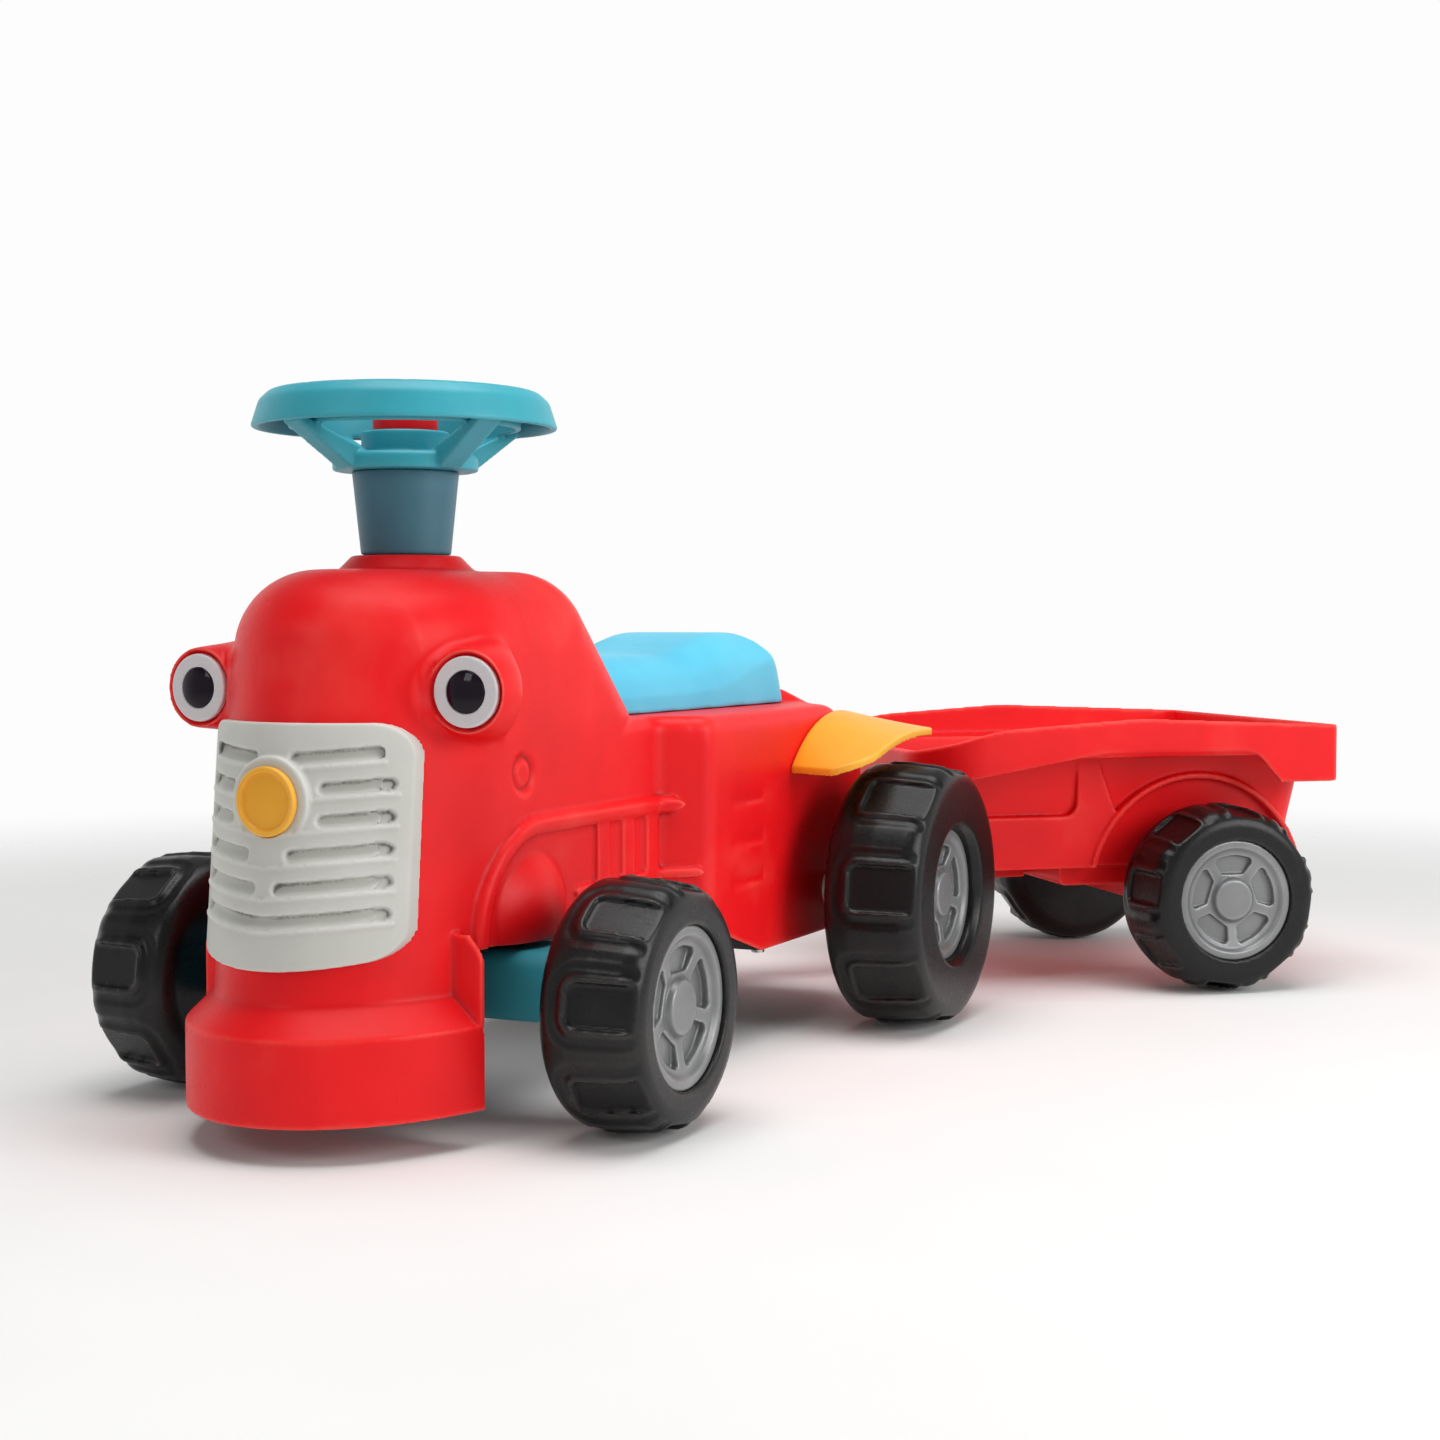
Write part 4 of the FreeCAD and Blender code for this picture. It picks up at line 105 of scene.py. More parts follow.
def surface(name, deep, main, pale, gloss, grain_mm, grain, drift_mm=70, wear_and_painted_light=0.35, ior=1.49, metallic=0.0,
            mirror=0.5, crease=None):
    """A finish: colour that drifts slowly, as pigment does in a melt, edges painted paler, partly as wear and partly
    as a painted highlight, creases painted darker as shade, a fine grain, and rub marks that dull the sheen. gloss
    holds the two roughnesses between which it varies."""
    material = bpy.data.materials.new(name)
    material.use_nodes = True
    tree = material.node_tree
    tree.nodes.clear()
    place = add(tree, "ShaderNodeTexCoord", {}, {}).outputs["Object"]
    drift = add(tree, "ShaderNodeTexNoise", {}, {
        "Vector": place, "Scale": 1 / (drift_mm * MM), "Detail": 3, "Roughness": 0.55})
    edge = add(tree, "ShaderNodeNewGeometry", {}, {}).outputs["Pointiness"]
    # Edges are painted paler, partly as wear and partly as a painted highlight; creases are painted darker as shade.
    wear_highlight_and_shade = add(tree, "ShaderNodeMapRange", {}, {
        "Value": edge, "From Min": WEAR_HIGHLIGHT_SHADE_SPAN[0], "From Max": WEAR_HIGHLIGHT_SHADE_SPAN[1], "To Min": -wear_and_painted_light, "To Max": wear_and_painted_light})
    shade = add(tree, "ShaderNodeMath", {"operation": "MULTIPLY_ADD", "use_clamp": True}, {
        0: drift.outputs["Fac"], 1: DRIFT_SHARE, 2: wear_highlight_and_shade.outputs["Result"]})
    # The first stop, the crease colour, is painted shade in creases; the pale stop shows only on edges, as wear and a
    # painted highlight.
    tint = add(tree, "ShaderNodeValToRGB", {"stops": [(0, crease or deep), (0.15, deep), (0.4, main), (0.9, pale)]}, {
        "Fac": shade.outputs["Value"]})
    grains = add(tree, "ShaderNodeTexNoise", {}, {
        "Vector": place, "Scale": 1 / (grain_mm * MM), "Detail": 2, "Roughness": 0.6})
    along = add(tree, "ShaderNodeMapping", {}, {
        "Vector": place, "Rotation": RUB_TURN, "Scale": (1 / RUB_LENGTH, 1 / RUB_WIDTH, 1 / RUB_WIDTH)})
    rubs = add(tree, "ShaderNodeTexNoise", {}, {"Vector": along.outputs["Vector"], "Scale": 1, "Detail": 1})
    dulled = add(tree, "ShaderNodeMapRange", {}, {
        "Value": rubs.outputs["Fac"], "From Min": RUB_SPAN[0], "From Max": RUB_SPAN[1],
        "To Min": 0, "To Max": RUB_DULLS})
    sheen = add(tree, "ShaderNodeMapRange", {}, {
        "Value": grains.outputs["Fac"], "From Min": GRAIN_SPAN[0], "From Max": GRAIN_SPAN[1],
        "To Min": gloss[0], "To Max": gloss[1]})
    rough = add(tree, "ShaderNodeMath", {"operation": "ADD"}, {
        0: sheen.outputs["Result"], 1: dulled.outputs["Result"]})
    bump = add(tree, "ShaderNodeBump", {}, {
        "Height": grains.outputs["Fac"], "Strength": grain, "Distance": GRAIN_DEPTH})
    shader = add(tree, "ShaderNodeBsdfPrincipled", {}, {
        "Base Color": tint.outputs["Color"], "Roughness": rough.outputs["Value"],
        "Normal": bump.outputs["Normal"], "IOR": ior, "Metallic": metallic, "Specular IOR Level": mirror})
    add(tree, "ShaderNodeOutputMaterial", {}, {"Surface": shader.outputs["BSDF"]})
    return material


finishes = {
    # Blow-moulded polyethylene: even, saturated colour with a broad soft highlight; its edges are painted paler,
    # partly as wear and partly as a painted highlight, and its creases darker as painted shade.
    "red_body": surface("red_blow_moulded_polyethylene", "#DE0C14", "#EE1218", "#FF5A50", (0.36, 0.46), 1.6, 0.25,
                        wear_and_painted_light=0.6, mirror=0.25, crease="#B80810"),
    # Injection-moulded polypropylene: satin, its edges painted a little paler, partly as wear and partly as a painted
    # highlight.
    "turquoise": surface("turquoise_injection_moulded_polypropylene", "#2B95A6", "#36A4B4", "#5CC0CE",
                         (0.38, 0.48), 1.2, 0.3, mirror=0.4),
    "blue_seat": surface("light_blue_injection_moulded_polypropylene", "#4DBADB", "#5EC8E6", "#84DAF2",
                         (0.4, 0.5), 1.6, 0.3, mirror=0.4),
    "column_blue": surface("blue_grey_injection_moulded_polypropylene", "#3A6A7B", "#437687", "#5F93A4",
                           (0.42, 0.5), 1.2, 0.3, mirror=0.4),
    # Injection-moulded ABS: an opaque warm grey; its creases are painted darker as shade, which makes the slots read.
    "grille_grey": surface("warm_grey_injection_moulded_abs", "#BEBEB6", "#CBCBC4", "#E0E0DB", (0.42, 0.52), 1.0, 0.35,
                           wear_and_painted_light=0.5, ior=1.53, crease="#74746E"),
    # Injection-moulded polypropylene: a warm yellow, glossier than the turquoise.
    "yellow": surface("yellow_injection_moulded_polypropylene", "#ECA01C", "#F5AE2E", "#FCC95E", (0.34, 0.42), 1.4,
                      0.25, mirror=0.4),
    # Polished ABS: nearly white, with a sharper reflection than the body.
    "lamp_white": surface("white_polished_abs", "#CFCBCD", "#DAD6D8", "#E8E5E6", (0.2, 0.28), 1.0, 0.1, ior=1.53,
                          mirror=0.4),
    # Clear-faced acrylic over a dark back: almost black, with a crisp highlight.
    "lens_dark": surface("dark_backed_moulded_acrylic", "#140A16", "#1B101D", "#271A29", (0.05, 0.09), 1.0, 0.03,
                         mirror=0.22),
    # Blow-moulded black polyethylene: dark satin skin, its ridges painted greyer, partly as rubbing and partly as a
    # painted highlight.
    "wheel_black": surface("black_blow_moulded_polyethylene", "#0B0B0C", "#111112", "#3A3836", (0.26, 0.38), 1.3, 0.35,
                           wear_and_painted_light=0.6, mirror=0.32),
    # Silver-pigmented polypropylene: grey with the faint metallic lustre of its flakes.
    "hub_grey": surface("silver_grey_moulded_polypropylene", "#6E6F70", "#848586", "#B4B5B5", (0.28, 0.38), 1.0, 0.3,
                        metallic=0.3, wear_and_painted_light=0.6),
    # Injection-moulded polypropylene: a matt black that the light hardly catches.
    "underbody_black": surface("black_injection_moulded_polypropylene", "#101010", "#151515", "#222222", (0.45, 0.55),
                               1.0, 0.4, mirror=0.35),
    # Natural acetal: creamy and waxy.
    "bush_natural": surface("natural_turned_acetal", "#CDC8B8", "#D6D1C2", "#E6E2D6", (0.35, 0.45), 1.0, 0.2),
    # Zinc-plated steel: cool bright metal with a cloudy plating.
    "steel": surface("zinc_plated_steel", "#9FA0A2", "#B4B5B7", "#C9CACB", (0.25, 0.4), 0.8, 0.2, drift_mm=9, ior=1.5,
                     metallic=1.0),
    # Moulded rubber: dull dark grey.
    "bellows_rubber": surface("soft_moulded_rubber", "#3E3A38", "#4A4643", "#5D5955", (0.6, 0.75), 1.0, 0.4),
}


# Pieces

def smooth_step(low, high, value):
    """0 below low, 1 above high, and a smooth rise between them."""
    share = np.clip((value - low) / (high - low), 0, 1)
    return share * share * (3 - 2 * share)


def box(node):
    """A CAD node's lowest and highest corners as arrays."""
    return tuple(np.array(corner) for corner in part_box(node))


def middle_of(node):
    return sum(box(node)) / 2


COLUMN = middle_of("steering_column")
DECK = box("seat")[0][2]
BODY_SIDE = 75 * MM            # the bonnet's flank, from the middle
POD_RIM = 2.5 * MM             # pod edge that stays crisp round a lamp ring
POD_RAMP = 6 * MM              # beyond that ring, where the skin flows fully
POD_SPREAD = (26 * MM, 40 * MM)   # and where it stops flowing
POD_LENGTH = 75 * MM           # behind the lamp's face
POD_REACH = 36 * MM            # from the lamp's axis
POD_TAPER = (14 * MM, 60 * MM)    # behind the lamp's face
DIMPLE = (-6 * MM, 180 * MM)   # behind the column, and above the floor
DIMPLE_RADIUS = 8.5 * MM
DIMPLE_GROOVE = 1.8 * MM
DIMPLE_DEPTH = 2.2 * MM
FLANK_SKIN = 2 * MM            # the flank's outer skin lies within this of BODY_SIDE
SOCKET = (0.7 * MM, 1.1 * MM, 2.5 * MM)   # the groove round a lamp ring: place, width and depth
ROLL = (6 * MM, 4 * MM, 3.5 * MM)         # the rolled rim round that
ROLL_LENGTH = (12 * MM, 25 * MM)          # behind the lamp's face, both fade out
BODY_WALL = 3 * MM
NEAR = 0.05 * MM
DECK_MIDDLE = 84 * MM          # the wall is not thickened nearer to the middle than this
DECK_THICKER = 3 * MM
DECK_EDGE = (16 * MM, 12 * MM)    # below the deck
HIP_LENGTH = (110 * MM, 70 * MM)  # ahead of the body's rear
HIP_BASE = (140 * MM, 160 * MM)   # above the floor
# The waist, where the bonnet meets the seat body: out from the middle, behind the column and above the floor.
WAIST_OUT = (80 * MM, 88 * MM)
WAIST_START = (156 * MM, 166 * MM)
WAIST_END = (185 * MM, 225 * MM)
WAIST_BASE = (70 * MM, 90 * MM)
WAIST_TOP = (150 * MM, 172 * MM)
# How freely the skin flows in these places, next to 1 round the pods.
WAIST_FLOW = 0.25
HIP_FLOW = 0.5
DECK_FLOW = 0.2


def from_lamp(points, side):
    """How far points are from a lamp's axis, how far behind its face, and the lamp ring's radius."""
    low, high = box("headlamp_bezel_" + side)
    off = np.hypot(points[:, 0] - (low[0] + high[0]) / 2, points[:, 2] - (low[2] + high[2]) / 2)
    return off, points[:, 1] - low[1], (high[2] - low[2]) / 2


def deck_backed(points):
    """The wall under the deck's rounded edge is thickened on its hidden side, or its skin would tear."""
    out = points[:, 0] - COLUMN[0]
    hidden = (np.abs(points[:, 2] - DECK + BODY_WALL) < NEAR) & (np.abs(out) > DECK_MIDDLE)
    points[hidden, 0] -= np.sign(out[hidden]) * DECK_THICKER
    points[hidden, 2] -= DECK_THICKER
    points[hidden & (points[:, 1] - COLUMN[1] < WAIST_END[0]), 1] += DECK_THICKER
    return points


def body_shape(points):
    """The lamp pods taper back into the flanks."""
    out = points[:, 0] - COLUMN[0]
    past = np.maximum(np.abs(out) - BODY_SIDE, 0)
    for side in SIDES:
        off, behind, _ = from_lamp(points, side)
        taper = past * smooth_step(*POD_TAPER, behind)
        points[:, 0] -= np.where((off < POD_REACH) & (behind < POD_LENGTH), np.sign(out) * taper, 0)
    return points


def ridge(place, width, height, value):
    """A soft ridge of a given height where value is at place."""
    return height * np.exp(-((value - place) / width) ** 2)


def body_details(points):
    """A rim rolls round each lamp, with a groove inside it, and a groove runs round each dimple."""
    for side in SIDES:
        off, behind, ring = from_lamp(points, side)
        rim = ridge(*SOCKET, off - ring) - ridge(*ROLL, off - ring)
        points[:, 1] += (1 - smooth_step(*ROLL_LENGTH, behind)) * rim
    out = points[:, 0] - COLUMN[0]
    ring = np.hypot(points[:, 1] - COLUMN[1] - DIMPLE[0], points[:, 2] - DIMPLE[1])
    sunk = ridge(DIMPLE_RADIUS, DIMPLE_GROOVE, DIMPLE_DEPTH, ring)
    flank = np.abs(np.abs(out) - BODY_SIDE) < FLANK_SKIN
    points[:, 0] -= np.where(flank, np.sign(out) * sunk, 0)
    return points


def body_blend(points):
    """Where the body's skin flows: round the lamp pods, at the waist, along the deck's edge, and over the hips."""
    out = np.abs(points[:, 0] - COLUMN[0])
    y = points[:, 1]
    z = points[:, 2]
    rear = box("body_shell")[1][1]
    share = HIP_FLOW * smooth_step(rear - HIP_LENGTH[0], rear - HIP_LENGTH[1], y) * smooth_step(*HIP_BASE, z)
    waist = WAIST_FLOW * smooth_step(*WAIST_OUT, out) * smooth_step(*WAIST_BASE, z) * (1 - smooth_step(*WAIST_TOP, z))
    waist *= smooth_step(*WAIST_START, y - COLUMN[1]) * (1 - smooth_step(*WAIST_END, y - COLUMN[1]))
    edge = DECK_FLOW * smooth_step(*WAIST_OUT, out) * smooth_step(DECK - DECK_EDGE[0], DECK - DECK_EDGE[1], z)
    edge[y - COLUMN[1] < WAIST_START[0]] = 0
    share = np.maximum(np.maximum(share, waist), edge)
    for side in SIDES:
        off, behind, ring = from_lamp(points, side)
        pod = smooth_step(ring + POD_RIM, ring + POD_RAMP, off)
        pod *= 1 - smooth_step(ring + POD_SPREAD[0], ring + POD_SPREAD[1], off)
        pod[(behind < 0) | (behind > POD_LENGTH)] = 0
        share = np.maximum(share, pod)
    return share


SEAT_DRAFT = 7 * MM            # how far a flank leans in from bottom to top
SEAT_DRAW_IN = 6 * MM          # and how far more it draws in above the crease
SEAT_CREASE = (0.3, 0.72)      # height of the crease at the nose and at the tail, as a share of the seat's
# Shares of the seat's length, from the nose.
SEAT_CREASE_RISES = (0.55, 1.0)
SEAT_TAIL = (0.4, 1.0)
SEAT_NOSE = (0.4, 0.75)
SEAT_TAIL_LEAN = 5 * MM
SEAT_NOSE_DROP = 13 * MM


def saddle(points):
    """The seat's flanks stand up to a crease, then draw in; its tail leans forward and its nose dips."""
    low, high = box("seat")
    rise = np.clip((points[:, 2] - low[2]) / (high[2] - low[2]), 0, 1)
    along = np.clip((points[:, 1] - low[1]) / (high[1] - low[1]), 0, 1)
    crease = SEAT_CREASE[0] + (SEAT_CREASE[1] - SEAT_CREASE[0]) * smooth_step(*SEAT_CREASE_RISES, along)
    above = np.clip((rise - crease) / (1 - crease), 0, 1)
    half = (high[0] - low[0]) / 2
    across = points[:, 0] - low[0] - half
    points[:, 0] -= across / half * (SEAT_DRAFT * rise + SEAT_DRAW_IN * above)
    points[:, 1] -= SEAT_TAIL_LEAN * rise * smooth_step(*SEAT_TAIL, along)
    points[:, 2] -= SEAT_NOSE_DROP * rise * (1 - smooth_step(*SEAT_NOSE, along))
    return points


GRILLE_STANDS = 5 * MM         # how far the grille's face stands off the nose
SLOT_TOP = 14 * MM             # the first row of slots, below the grille's top
SLOT_PITCH = 15.5 * MM
SLOT_ROWS = 6
SLOT_HALF = 3.25 * MM          # half of a slot's height
SLOT_SMILE = 4 * MM            # how far a row sags in the middle
SLOT_END = 10 * MM             # the solid's slots end here, from the grille's edge
SLOT_LONGER = 5 * MM           # and all rows but the top one run on by this
SLOT_DEPTH = 3 * MM
SLOT_FLOOR = (0.35, 1.4)       # depth at a slot's lower and upper edge, as a share of the solid's
SLOT_FADE = 5 * MM             # towards its end a slot gets back the solid's depth over this length
SLOT_WALLS = 1.3               # a slot with its walls reaches this far from its middle, in halves of its height
SLOT_RAMP = 1.4                # and its floor has its full depth this far above the lower edge
LIP_HEIGHT = 2.6 * MM
LIP_RISE = 0.9 * MM
FACE_NEAR = 1 * MM             # tolerance for lying on the grille's face, on its back or at a slot's end


def louvred(points):
    """The grille's slots deepen towards their upper edge, and a lip stands out under each."""
    skin = nodes["body_shell"].data
    nose = BVHTree.FromPolygons([v.co for v in skin.vertices], [f.vertices for f in skin.polygons])
    low, high = box("front_grille")
    reach = (high[0] - low[0]) / 2 - SLOT_END
    out = np.abs(points[:, 0] - COLUMN[0])
    for i, point in enumerate(points):
        under, _, _, away = nose.find_nearest(point)
        depth = GRILLE_STANDS - away
        drop = high[2] - SLOT_TOP - SLOT_SMILE * max(0, 1 - out[i] / reach) - point[2]
        row = min(max(round(drop / SLOT_PITCH), 0), SLOT_ROWS - 1)
        place = (row * SLOT_PITCH - drop) / SLOT_HALF
        end = reach + SLOT_LONGER * (row > 0)
        if out[i] > end + FACE_NEAR or not FACE_NEAR < away < GRILLE_STANDS + FACE_NEAR:
            continue
        past = max(0, (out[i] - end) / SLOT_HALF + 1)
        if row > 0 and out[i] > reach - SLOT_LONGER and past * past + place * place < 1:
            depth = SLOT_DEPTH
        if abs(place) < SLOT_WALLS and depth > 0:
            share = min(max((place + 1) / SLOT_RAMP, 0), 1)
            deeper = SLOT_FLOOR[0] + (SLOT_FLOOR[1] - SLOT_FLOOR[0]) * share - 1
            depth *= 1 + deeper * min(max((end - out[i]) / SLOT_FADE, 0), 1)
        elif depth < FACE_NEAR:
            below = -(place + 1) * SLOT_HALF - LIP_HEIGHT / 2
            depth -= LIP_RISE * math.exp(-(2 * below / LIP_HEIGHT) ** 2)
        points[i] = np.array(under) + (point - np.array(under)) * (GRILLE_STANDS - depth) / away
    return points


POCKETS = 8
POCKET_SPAN = math.radians(20)
POCKET_START = 19 * MM         # from the wheel's inner face
POCKET_CORNER = 5 * MM
POCKET_PHASE = math.radians(-8)   # how far the wheel has rolled on
BEAD = (2.5 * MM, 5 * MM)      # the raised bead round a pocket ends here
VALLEY = (7 * MM, 12 * MM)     # and the shallow valley beyond it here
VALLEY_DEPTH = 1.3 * MM
TREAD_SKIN = 9 * MM            # depth of the tread that moves


def beaded(axle, side):
    """Moves a wheel's points: a bead stands round each tread pocket, and the wheel has rolled on a little."""
    node = f"{axle}_tyre_{side}"
    middle = middle_of(node)
    left = middle_of(axle + "_tyre_left") - middle_of(axle + "_tyre_right")
    left /= np.linalg.norm(left)
    back = np.cross((0, 0, 1), left)
    out = left if side == "left" else -left
    low, high = box(node)
    radius = (high[2] - low[2]) / 2

    def shape(points):
        across = points @ out
        across -= across.min()
        y = (points - middle) @ back
        z = points[:, 2] - middle[2]
        far = np.hypot(y, z)
        pitch = 2 * math.pi / POCKETS
        angle = np.mod(np.arctan2(y, z) + pitch / 2, pitch) - pitch / 2
        beside = np.abs(angle) * radius - POCKET_SPAN * radius / 2 + POCKET_CORNER
        before = POCKET_START - across + POCKET_CORNER
        off = np.hypot(np.maximum(beside, 0), np.maximum(before, 0)) - POCKET_CORNER
        dip = VALLEY_DEPTH * smooth_step(*BEAD, off) * (1 - smooth_step(*VALLEY, off))
        dip *= smooth_step(radius - TREAD_SKIN, radius - TREAD_SKIN / 2, far)
        shrink = np.minimum(far - dip, radius) / np.maximum(far, MM)
        turned = shrink * (y * math.cos(POCKET_PHASE) - z * math.sin(POCKET_PHASE))
        points += np.outer(turned - y, back)
        points[:, 2] = middle[2] + shrink * (y * math.sin(POCKET_PHASE) + z * math.cos(POCKET_PHASE))
        return points
    return shape


def settle(piece):
    """Applies a piece's modifiers to its mesh."""
    mesh = bpy.data.meshes.new_from_object(piece.evaluated_get(bpy.context.evaluated_depsgraph_get()))
    piece.modifiers.clear()
    piece.data = mesh


def mesh_points(piece):
    """A piece's points as rows of x, y, z."""
    flat = np.empty(3 * len(piece.data.vertices))
    piece.data.vertices.foreach_get("co", flat)
    return flat.reshape(-1, 3)


BLEND_STEPS = 10               # levels of flow that are told apart
BLEND_ROUNDS = 200


def reshape(piece, shape):
    """Moves a piece's points with a shape function, if there is one."""
    if shape:
        piece.data.vertices.foreach_set("co", shape(mesh_points(piece)).ravel())


def softened(node, name, slot, voxel_mm, rounds, keep, backed=None, shape=None, blend=None, details=None):
    """A copy of a CAD solid with its edges rounded as a mould rounds them. It gets an even skin and is smoothed for
    some rounds. backed moves its points before it has that skin, shape after; blend says where the skin then flows
    together, and details move it last."""
    piece = bpy.data.objects.new(name, nodes[node].data.copy())
    bpy.context.scene.collection.objects.link(piece)
    reshape(piece, backed)
    skin = piece.modifiers.new("skin", "REMESH")
    skin.mode = "VOXEL"
    skin.voxel_size = voxel_mm * MM
    settle(piece)
    reshape(piece, shape)
    if blend:
        step = np.round(blend(mesh_points(piece)) * BLEND_STEPS).astype(int)
        group = piece.vertex_groups.new(name="flow")
        for level in range(1, BLEND_STEPS + 1):
            group.add(np.flatnonzero(step == level).tolist(), level / BLEND_STEPS, "REPLACE")
        flow = piece.modifiers.new("flow", "SMOOTH")
        flow.iterations = BLEND_ROUNDS
        flow.vertex_group = "flow"
        settle(piece)
    reshape(piece, details)
    soften = piece.modifiers.new("soften", "SMOOTH")
    soften.iterations = rounds
    thin = piece.modifiers.new("thin", "DECIMATE")
    thin.ratio = keep
    settle(piece)
    piece.vertex_groups.clear()
    piece.data.shade_smooth()
    piece.data.materials.clear()
    piece.data.materials.append(finishes[slot])
    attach(piece, body_of[node])
    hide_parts(node)
    return piece


softened("body_shell", "body_moulding", "red_body", 1.3, 5, 0.35, backed=deck_backed,
         shape=body_shape, blend=body_blend, details=body_details)
softened("trailer_tub", "tub_moulding", "red_body", 1.1, 10, 0.3)
softened("front_grille", "grille_moulding", "grille_grey", 0.8, 6, 0.4, shape=louvred)
softened("grille_badge", "badge_moulding", "yellow", 0.7, 4, 0.5)
softened("seat", "seat_moulding", "blue_seat", 1.5, 10, 0.4, shape=saddle)
softened("steering_wheel", "steering_wheel_moulding", "turquoise", 0.9, 8, 0.4)
softened("steering_column", "column_moulding", "column_blue", 1.1, 6, 0.4)
softened("horn_button", "horn_button_moulding", "red_body", 0.7, 5, 0.5)
softened("front_axle_carrier", "carrier_moulding", "turquoise", 1.2, 6, 0.4)
softened("tow_tongue", "tow_tongue_moulding", "red_body", 1.0, 5, 0.4)
softened("trailer_drawbar", "drawbar_moulding", "red_body", 1.0, 5, 0.4)
softened("trailer_axle_block", "axle_block_moulding", "red_body", 1.2, 5, 0.4)
softened("hitch_pin", "hitch_pin_moulding", "underbody_black", 0.6, 4, 0.5)
for side in SIDES:
    softened("headlamp_bezel_" + side, "headlamp_ring_" + side, "lamp_white", 0.5, 4, 0.5)
    softened("headlamp_lens_" + side, "headlamp_glass_" + side, "lens_dark", 0.45, 5, 0.6)
    softened("fender_" + side, "fender_moulding_" + side, "yellow", 0.8, 10, 0.4)
    for axle in AXLES:
        softened(f"{axle}_tyre_{side}", f"{axle}_wheel_moulding_{side}", "wheel_black", 1.1, 4, 0.4,
                 shape=beaded(axle, side))
        softened(f"{axle}_hubcap_{side}", f"{axle}_hub_moulding_{side}", "hub_grey", 0.7, 4, 0.4)

# The bellows under the horn button gets a mesh of its own.
bellows = softened("horn_bellows", "bellows_moulding", "bellows_rubber", 0.4, 2, 0.6)
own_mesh(bellows)

# These CAD solids show as they are.
KEPT = {
    "underbody_black": ["underbody_plate", "rear_axle_spacers", "trailer_axle_spacers"],
    "bush_natural": ["column_bush_upper", "column_bush_lower", "rear_axle_bushes"],
    "steel": ["body_screws", "seat_screws", "fender_screws", "tow_screws", "steering_screw", "carrier_pin",
              "drawbar_screws", "block_screws"]
             + [axle + part for axle in AXLES for part in ("_axle", "_axle_nuts")],
}
for slot, members in KEPT.items():
    for node in members:
        nodes[node].data.materials.clear()
        nodes[node].data.materials.append(finishes[slot])


# Floor, light and camera

FLOOR_REACH = 3                # metres
FLOOR_FADE = (0.6, 1.8)        # metres from the middle
corners = [(-FLOOR_REACH, -FLOOR_REACH, 0), (FLOOR_REACH, -FLOOR_REACH, 0), (FLOOR_REACH, FLOOR_REACH, 0),
           (-FLOOR_REACH, FLOOR_REACH, 0)]
floor_mesh = bpy.data.meshes.new("floor")
floor_mesh.from_pydata(corners, [], [range(len(corners))])
floor = bpy.data.objects.new("floor", floor_mesh)
bpy.context.scene.collection.objects.link(floor)
# Matt paint: nearly white, with a broad faint clouding; it fades into the room away from the object.
paint = surface("pale_matt_painted_floor", "#EDEDEC", "#F2F2F1", "#F6F6F5", (0.75, 0.85), 3, 0.1, drift_mm=400)
floor_mesh.materials.append(paint)
layers = paint.node_tree
spot = add(layers, "ShaderNodeTexCoord", {}, {}).outputs["Object"]
away = add(layers, "ShaderNodeVectorMath", {"operation": "LENGTH"}, {0: spot})
fade = add(layers, "ShaderNodeMapRange", {"interpolation_type": "SMOOTHSTEP"}, {
    "Value": away.outputs["Value"], "From Min": FLOOR_FADE[0], "From Max": FLOOR_FADE[1], "To Min": 1, "To Max": 0})
layers.links.new(fade.outputs["Result"], layers.nodes["Principled BSDF"].inputs["Alpha"])


LIT_POINT = Vector((0, 0, 0.15))   # metres


def softbox(name, place, width, height, watts):
    """A rectangular studio lamp, sizes in metres, that faces the middle of the object."""
    lamp = bpy.data.lights.new(name, "AREA")
    lamp.shape = "RECTANGLE"
    lamp.size = width
    lamp.size_y = height
    lamp.energy = watts
    holder = bpy.data.objects.new(name, lamp)
    holder.location = place
    holder.rotation_euler = (LIT_POINT - holder.location).to_track_quat("-Z", "Y").to_euler()
    bpy.context.scene.collection.objects.link(holder)


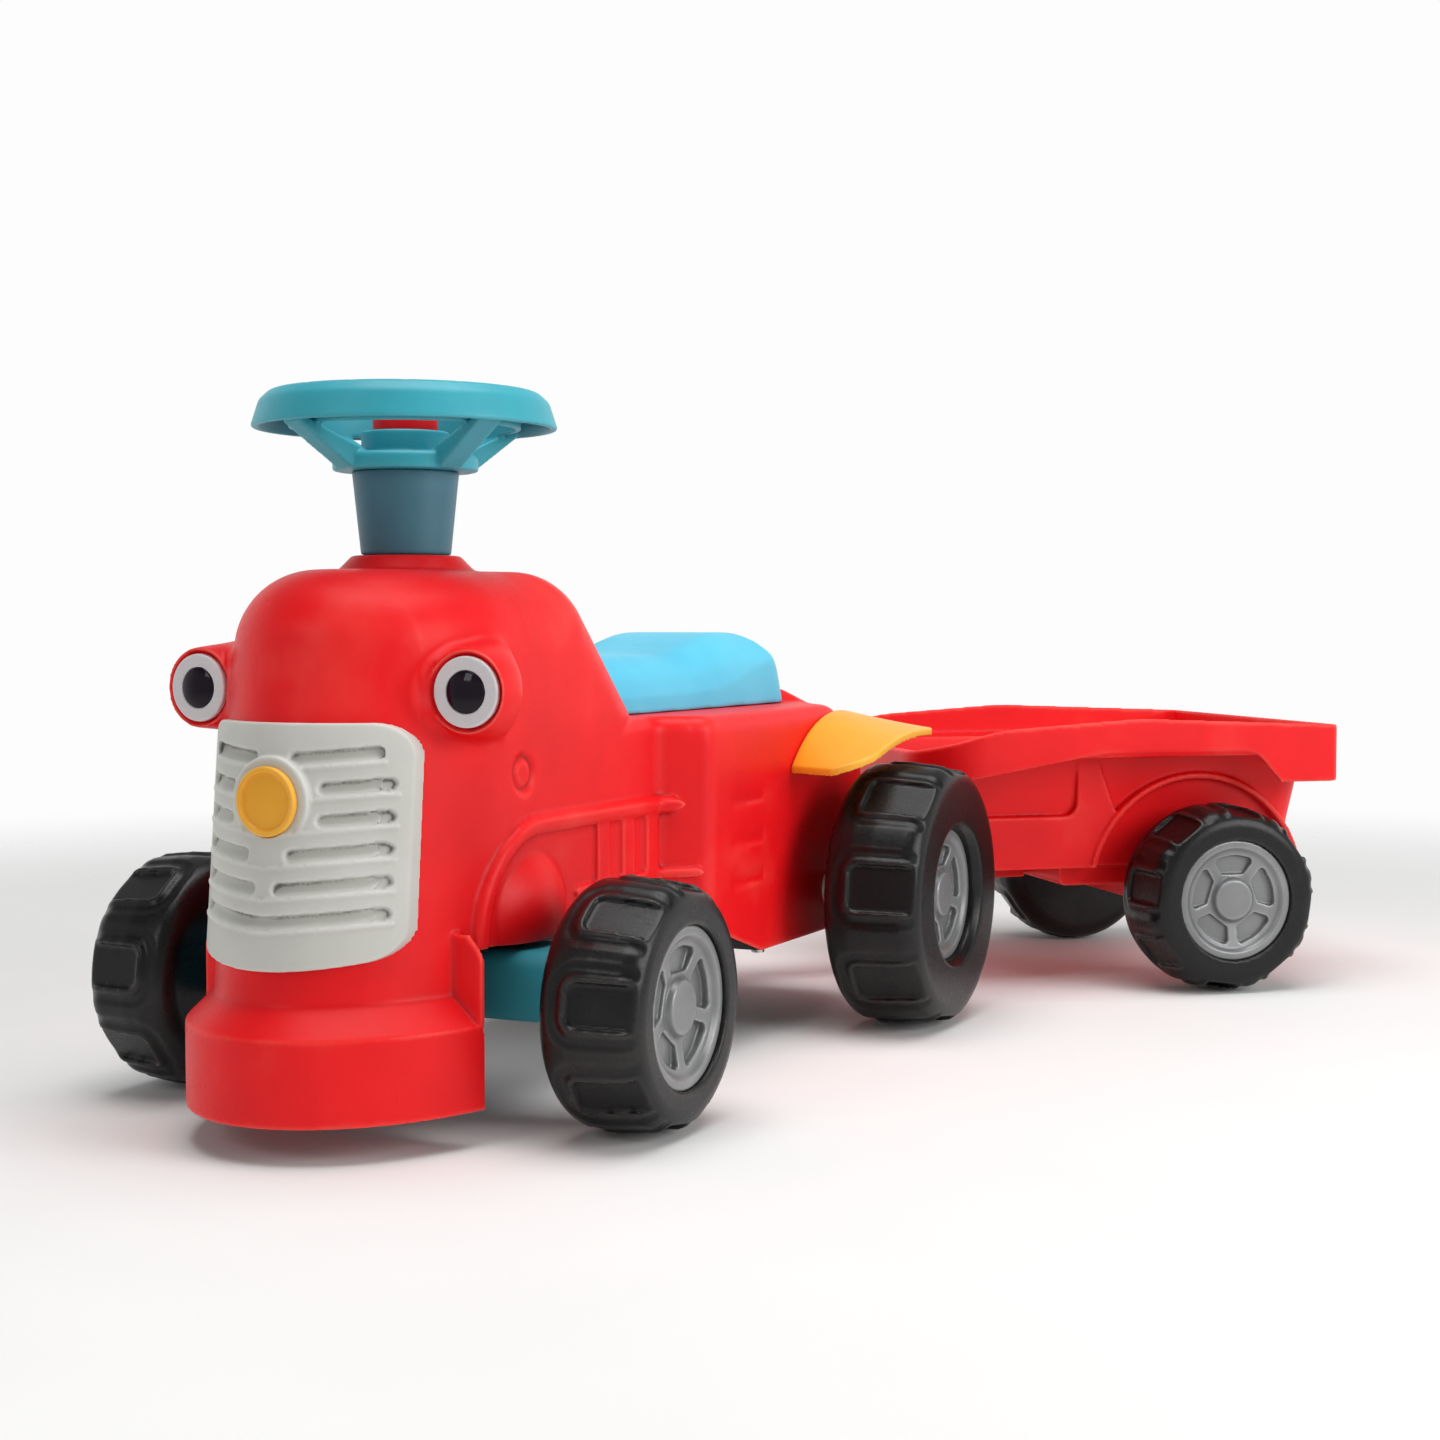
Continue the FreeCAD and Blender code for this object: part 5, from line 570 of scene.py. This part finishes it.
softbox("overhead", (0.15, -0.25, 1.9), 1.6, 1.4, 29)
softbox("side", (1.9, -0.25, 0.85), 1.2, 1.0, 19)
softbox("front", (-0.5, -1.9, 1.1), 0.5, 0.5, 3)

# The photo's camera, as fitted to the wheels, the steering wheel and the grille.
TURN = math.radians(25.33)
TILT = math.radians(2.67)
CAMERA_PLACE = (0.549216, -1.305214, 0.25925)
SENSOR_MM = 36
LENS_MM = 54.58

# The room is a white wall behind the object, dimmer overhead and on the near side.
WALL_NEAR = 0.45               # brightness of the near side
WALL_TURN = (-0.4, 0.7)        # from the near side to the far wall, as the cosine of the angle to the view
world = bpy.data.worlds.new("studio")
bpy.context.scene.world = world
world.use_nodes = True
room = world.node_tree
room.nodes.clear()
direction = add(room, "ShaderNodeTexCoord", {}, {}).outputs["Generated"]
height = add(room, "ShaderNodeSeparateXYZ", {}, {"Vector": direction}).outputs["Z"]
wall = add(room, "ShaderNodeValToRGB", {"stops": [(0.32, "#FDFDFD"), (0.6, "#8A8A8A")]}, {"Fac": height})
facing = add(room, "ShaderNodeVectorMath", {"operation": "DOT_PRODUCT"}, {
    0: direction, 1: (-math.sin(TURN), math.cos(TURN), 0)})
side_on = add(room, "ShaderNodeMapRange", {"interpolation_type": "SMOOTHSTEP"}, {
    "Value": facing.outputs["Value"], "From Min": WALL_TURN[0], "From Max": WALL_TURN[1],
    "To Min": WALL_NEAR, "To Max": 1})
glow = add(room, "ShaderNodeBackground", {}, {
    "Color": wall.outputs["Color"], "Strength": side_on.outputs["Result"]})
add(room, "ShaderNodeOutputWorld", {}, {"Surface": glow.outputs["Background"]})

look = Vector((-math.sin(TURN) * math.cos(TILT), math.cos(TURN) * math.cos(TILT), -math.sin(TILT)))
camera = bpy.data.objects.new("camera", bpy.data.cameras.new("camera"))
camera.location = CAMERA_PLACE
camera.rotation_euler = look.to_track_quat("-Z", "Y").to_euler()
camera.data.sensor_width = SENSOR_MM
camera.data.lens = LENS_MM
bpy.context.scene.collection.objects.link(camera)
bpy.context.scene.camera = camera
bpy.context.scene.view_settings.view_transform = "Standard"
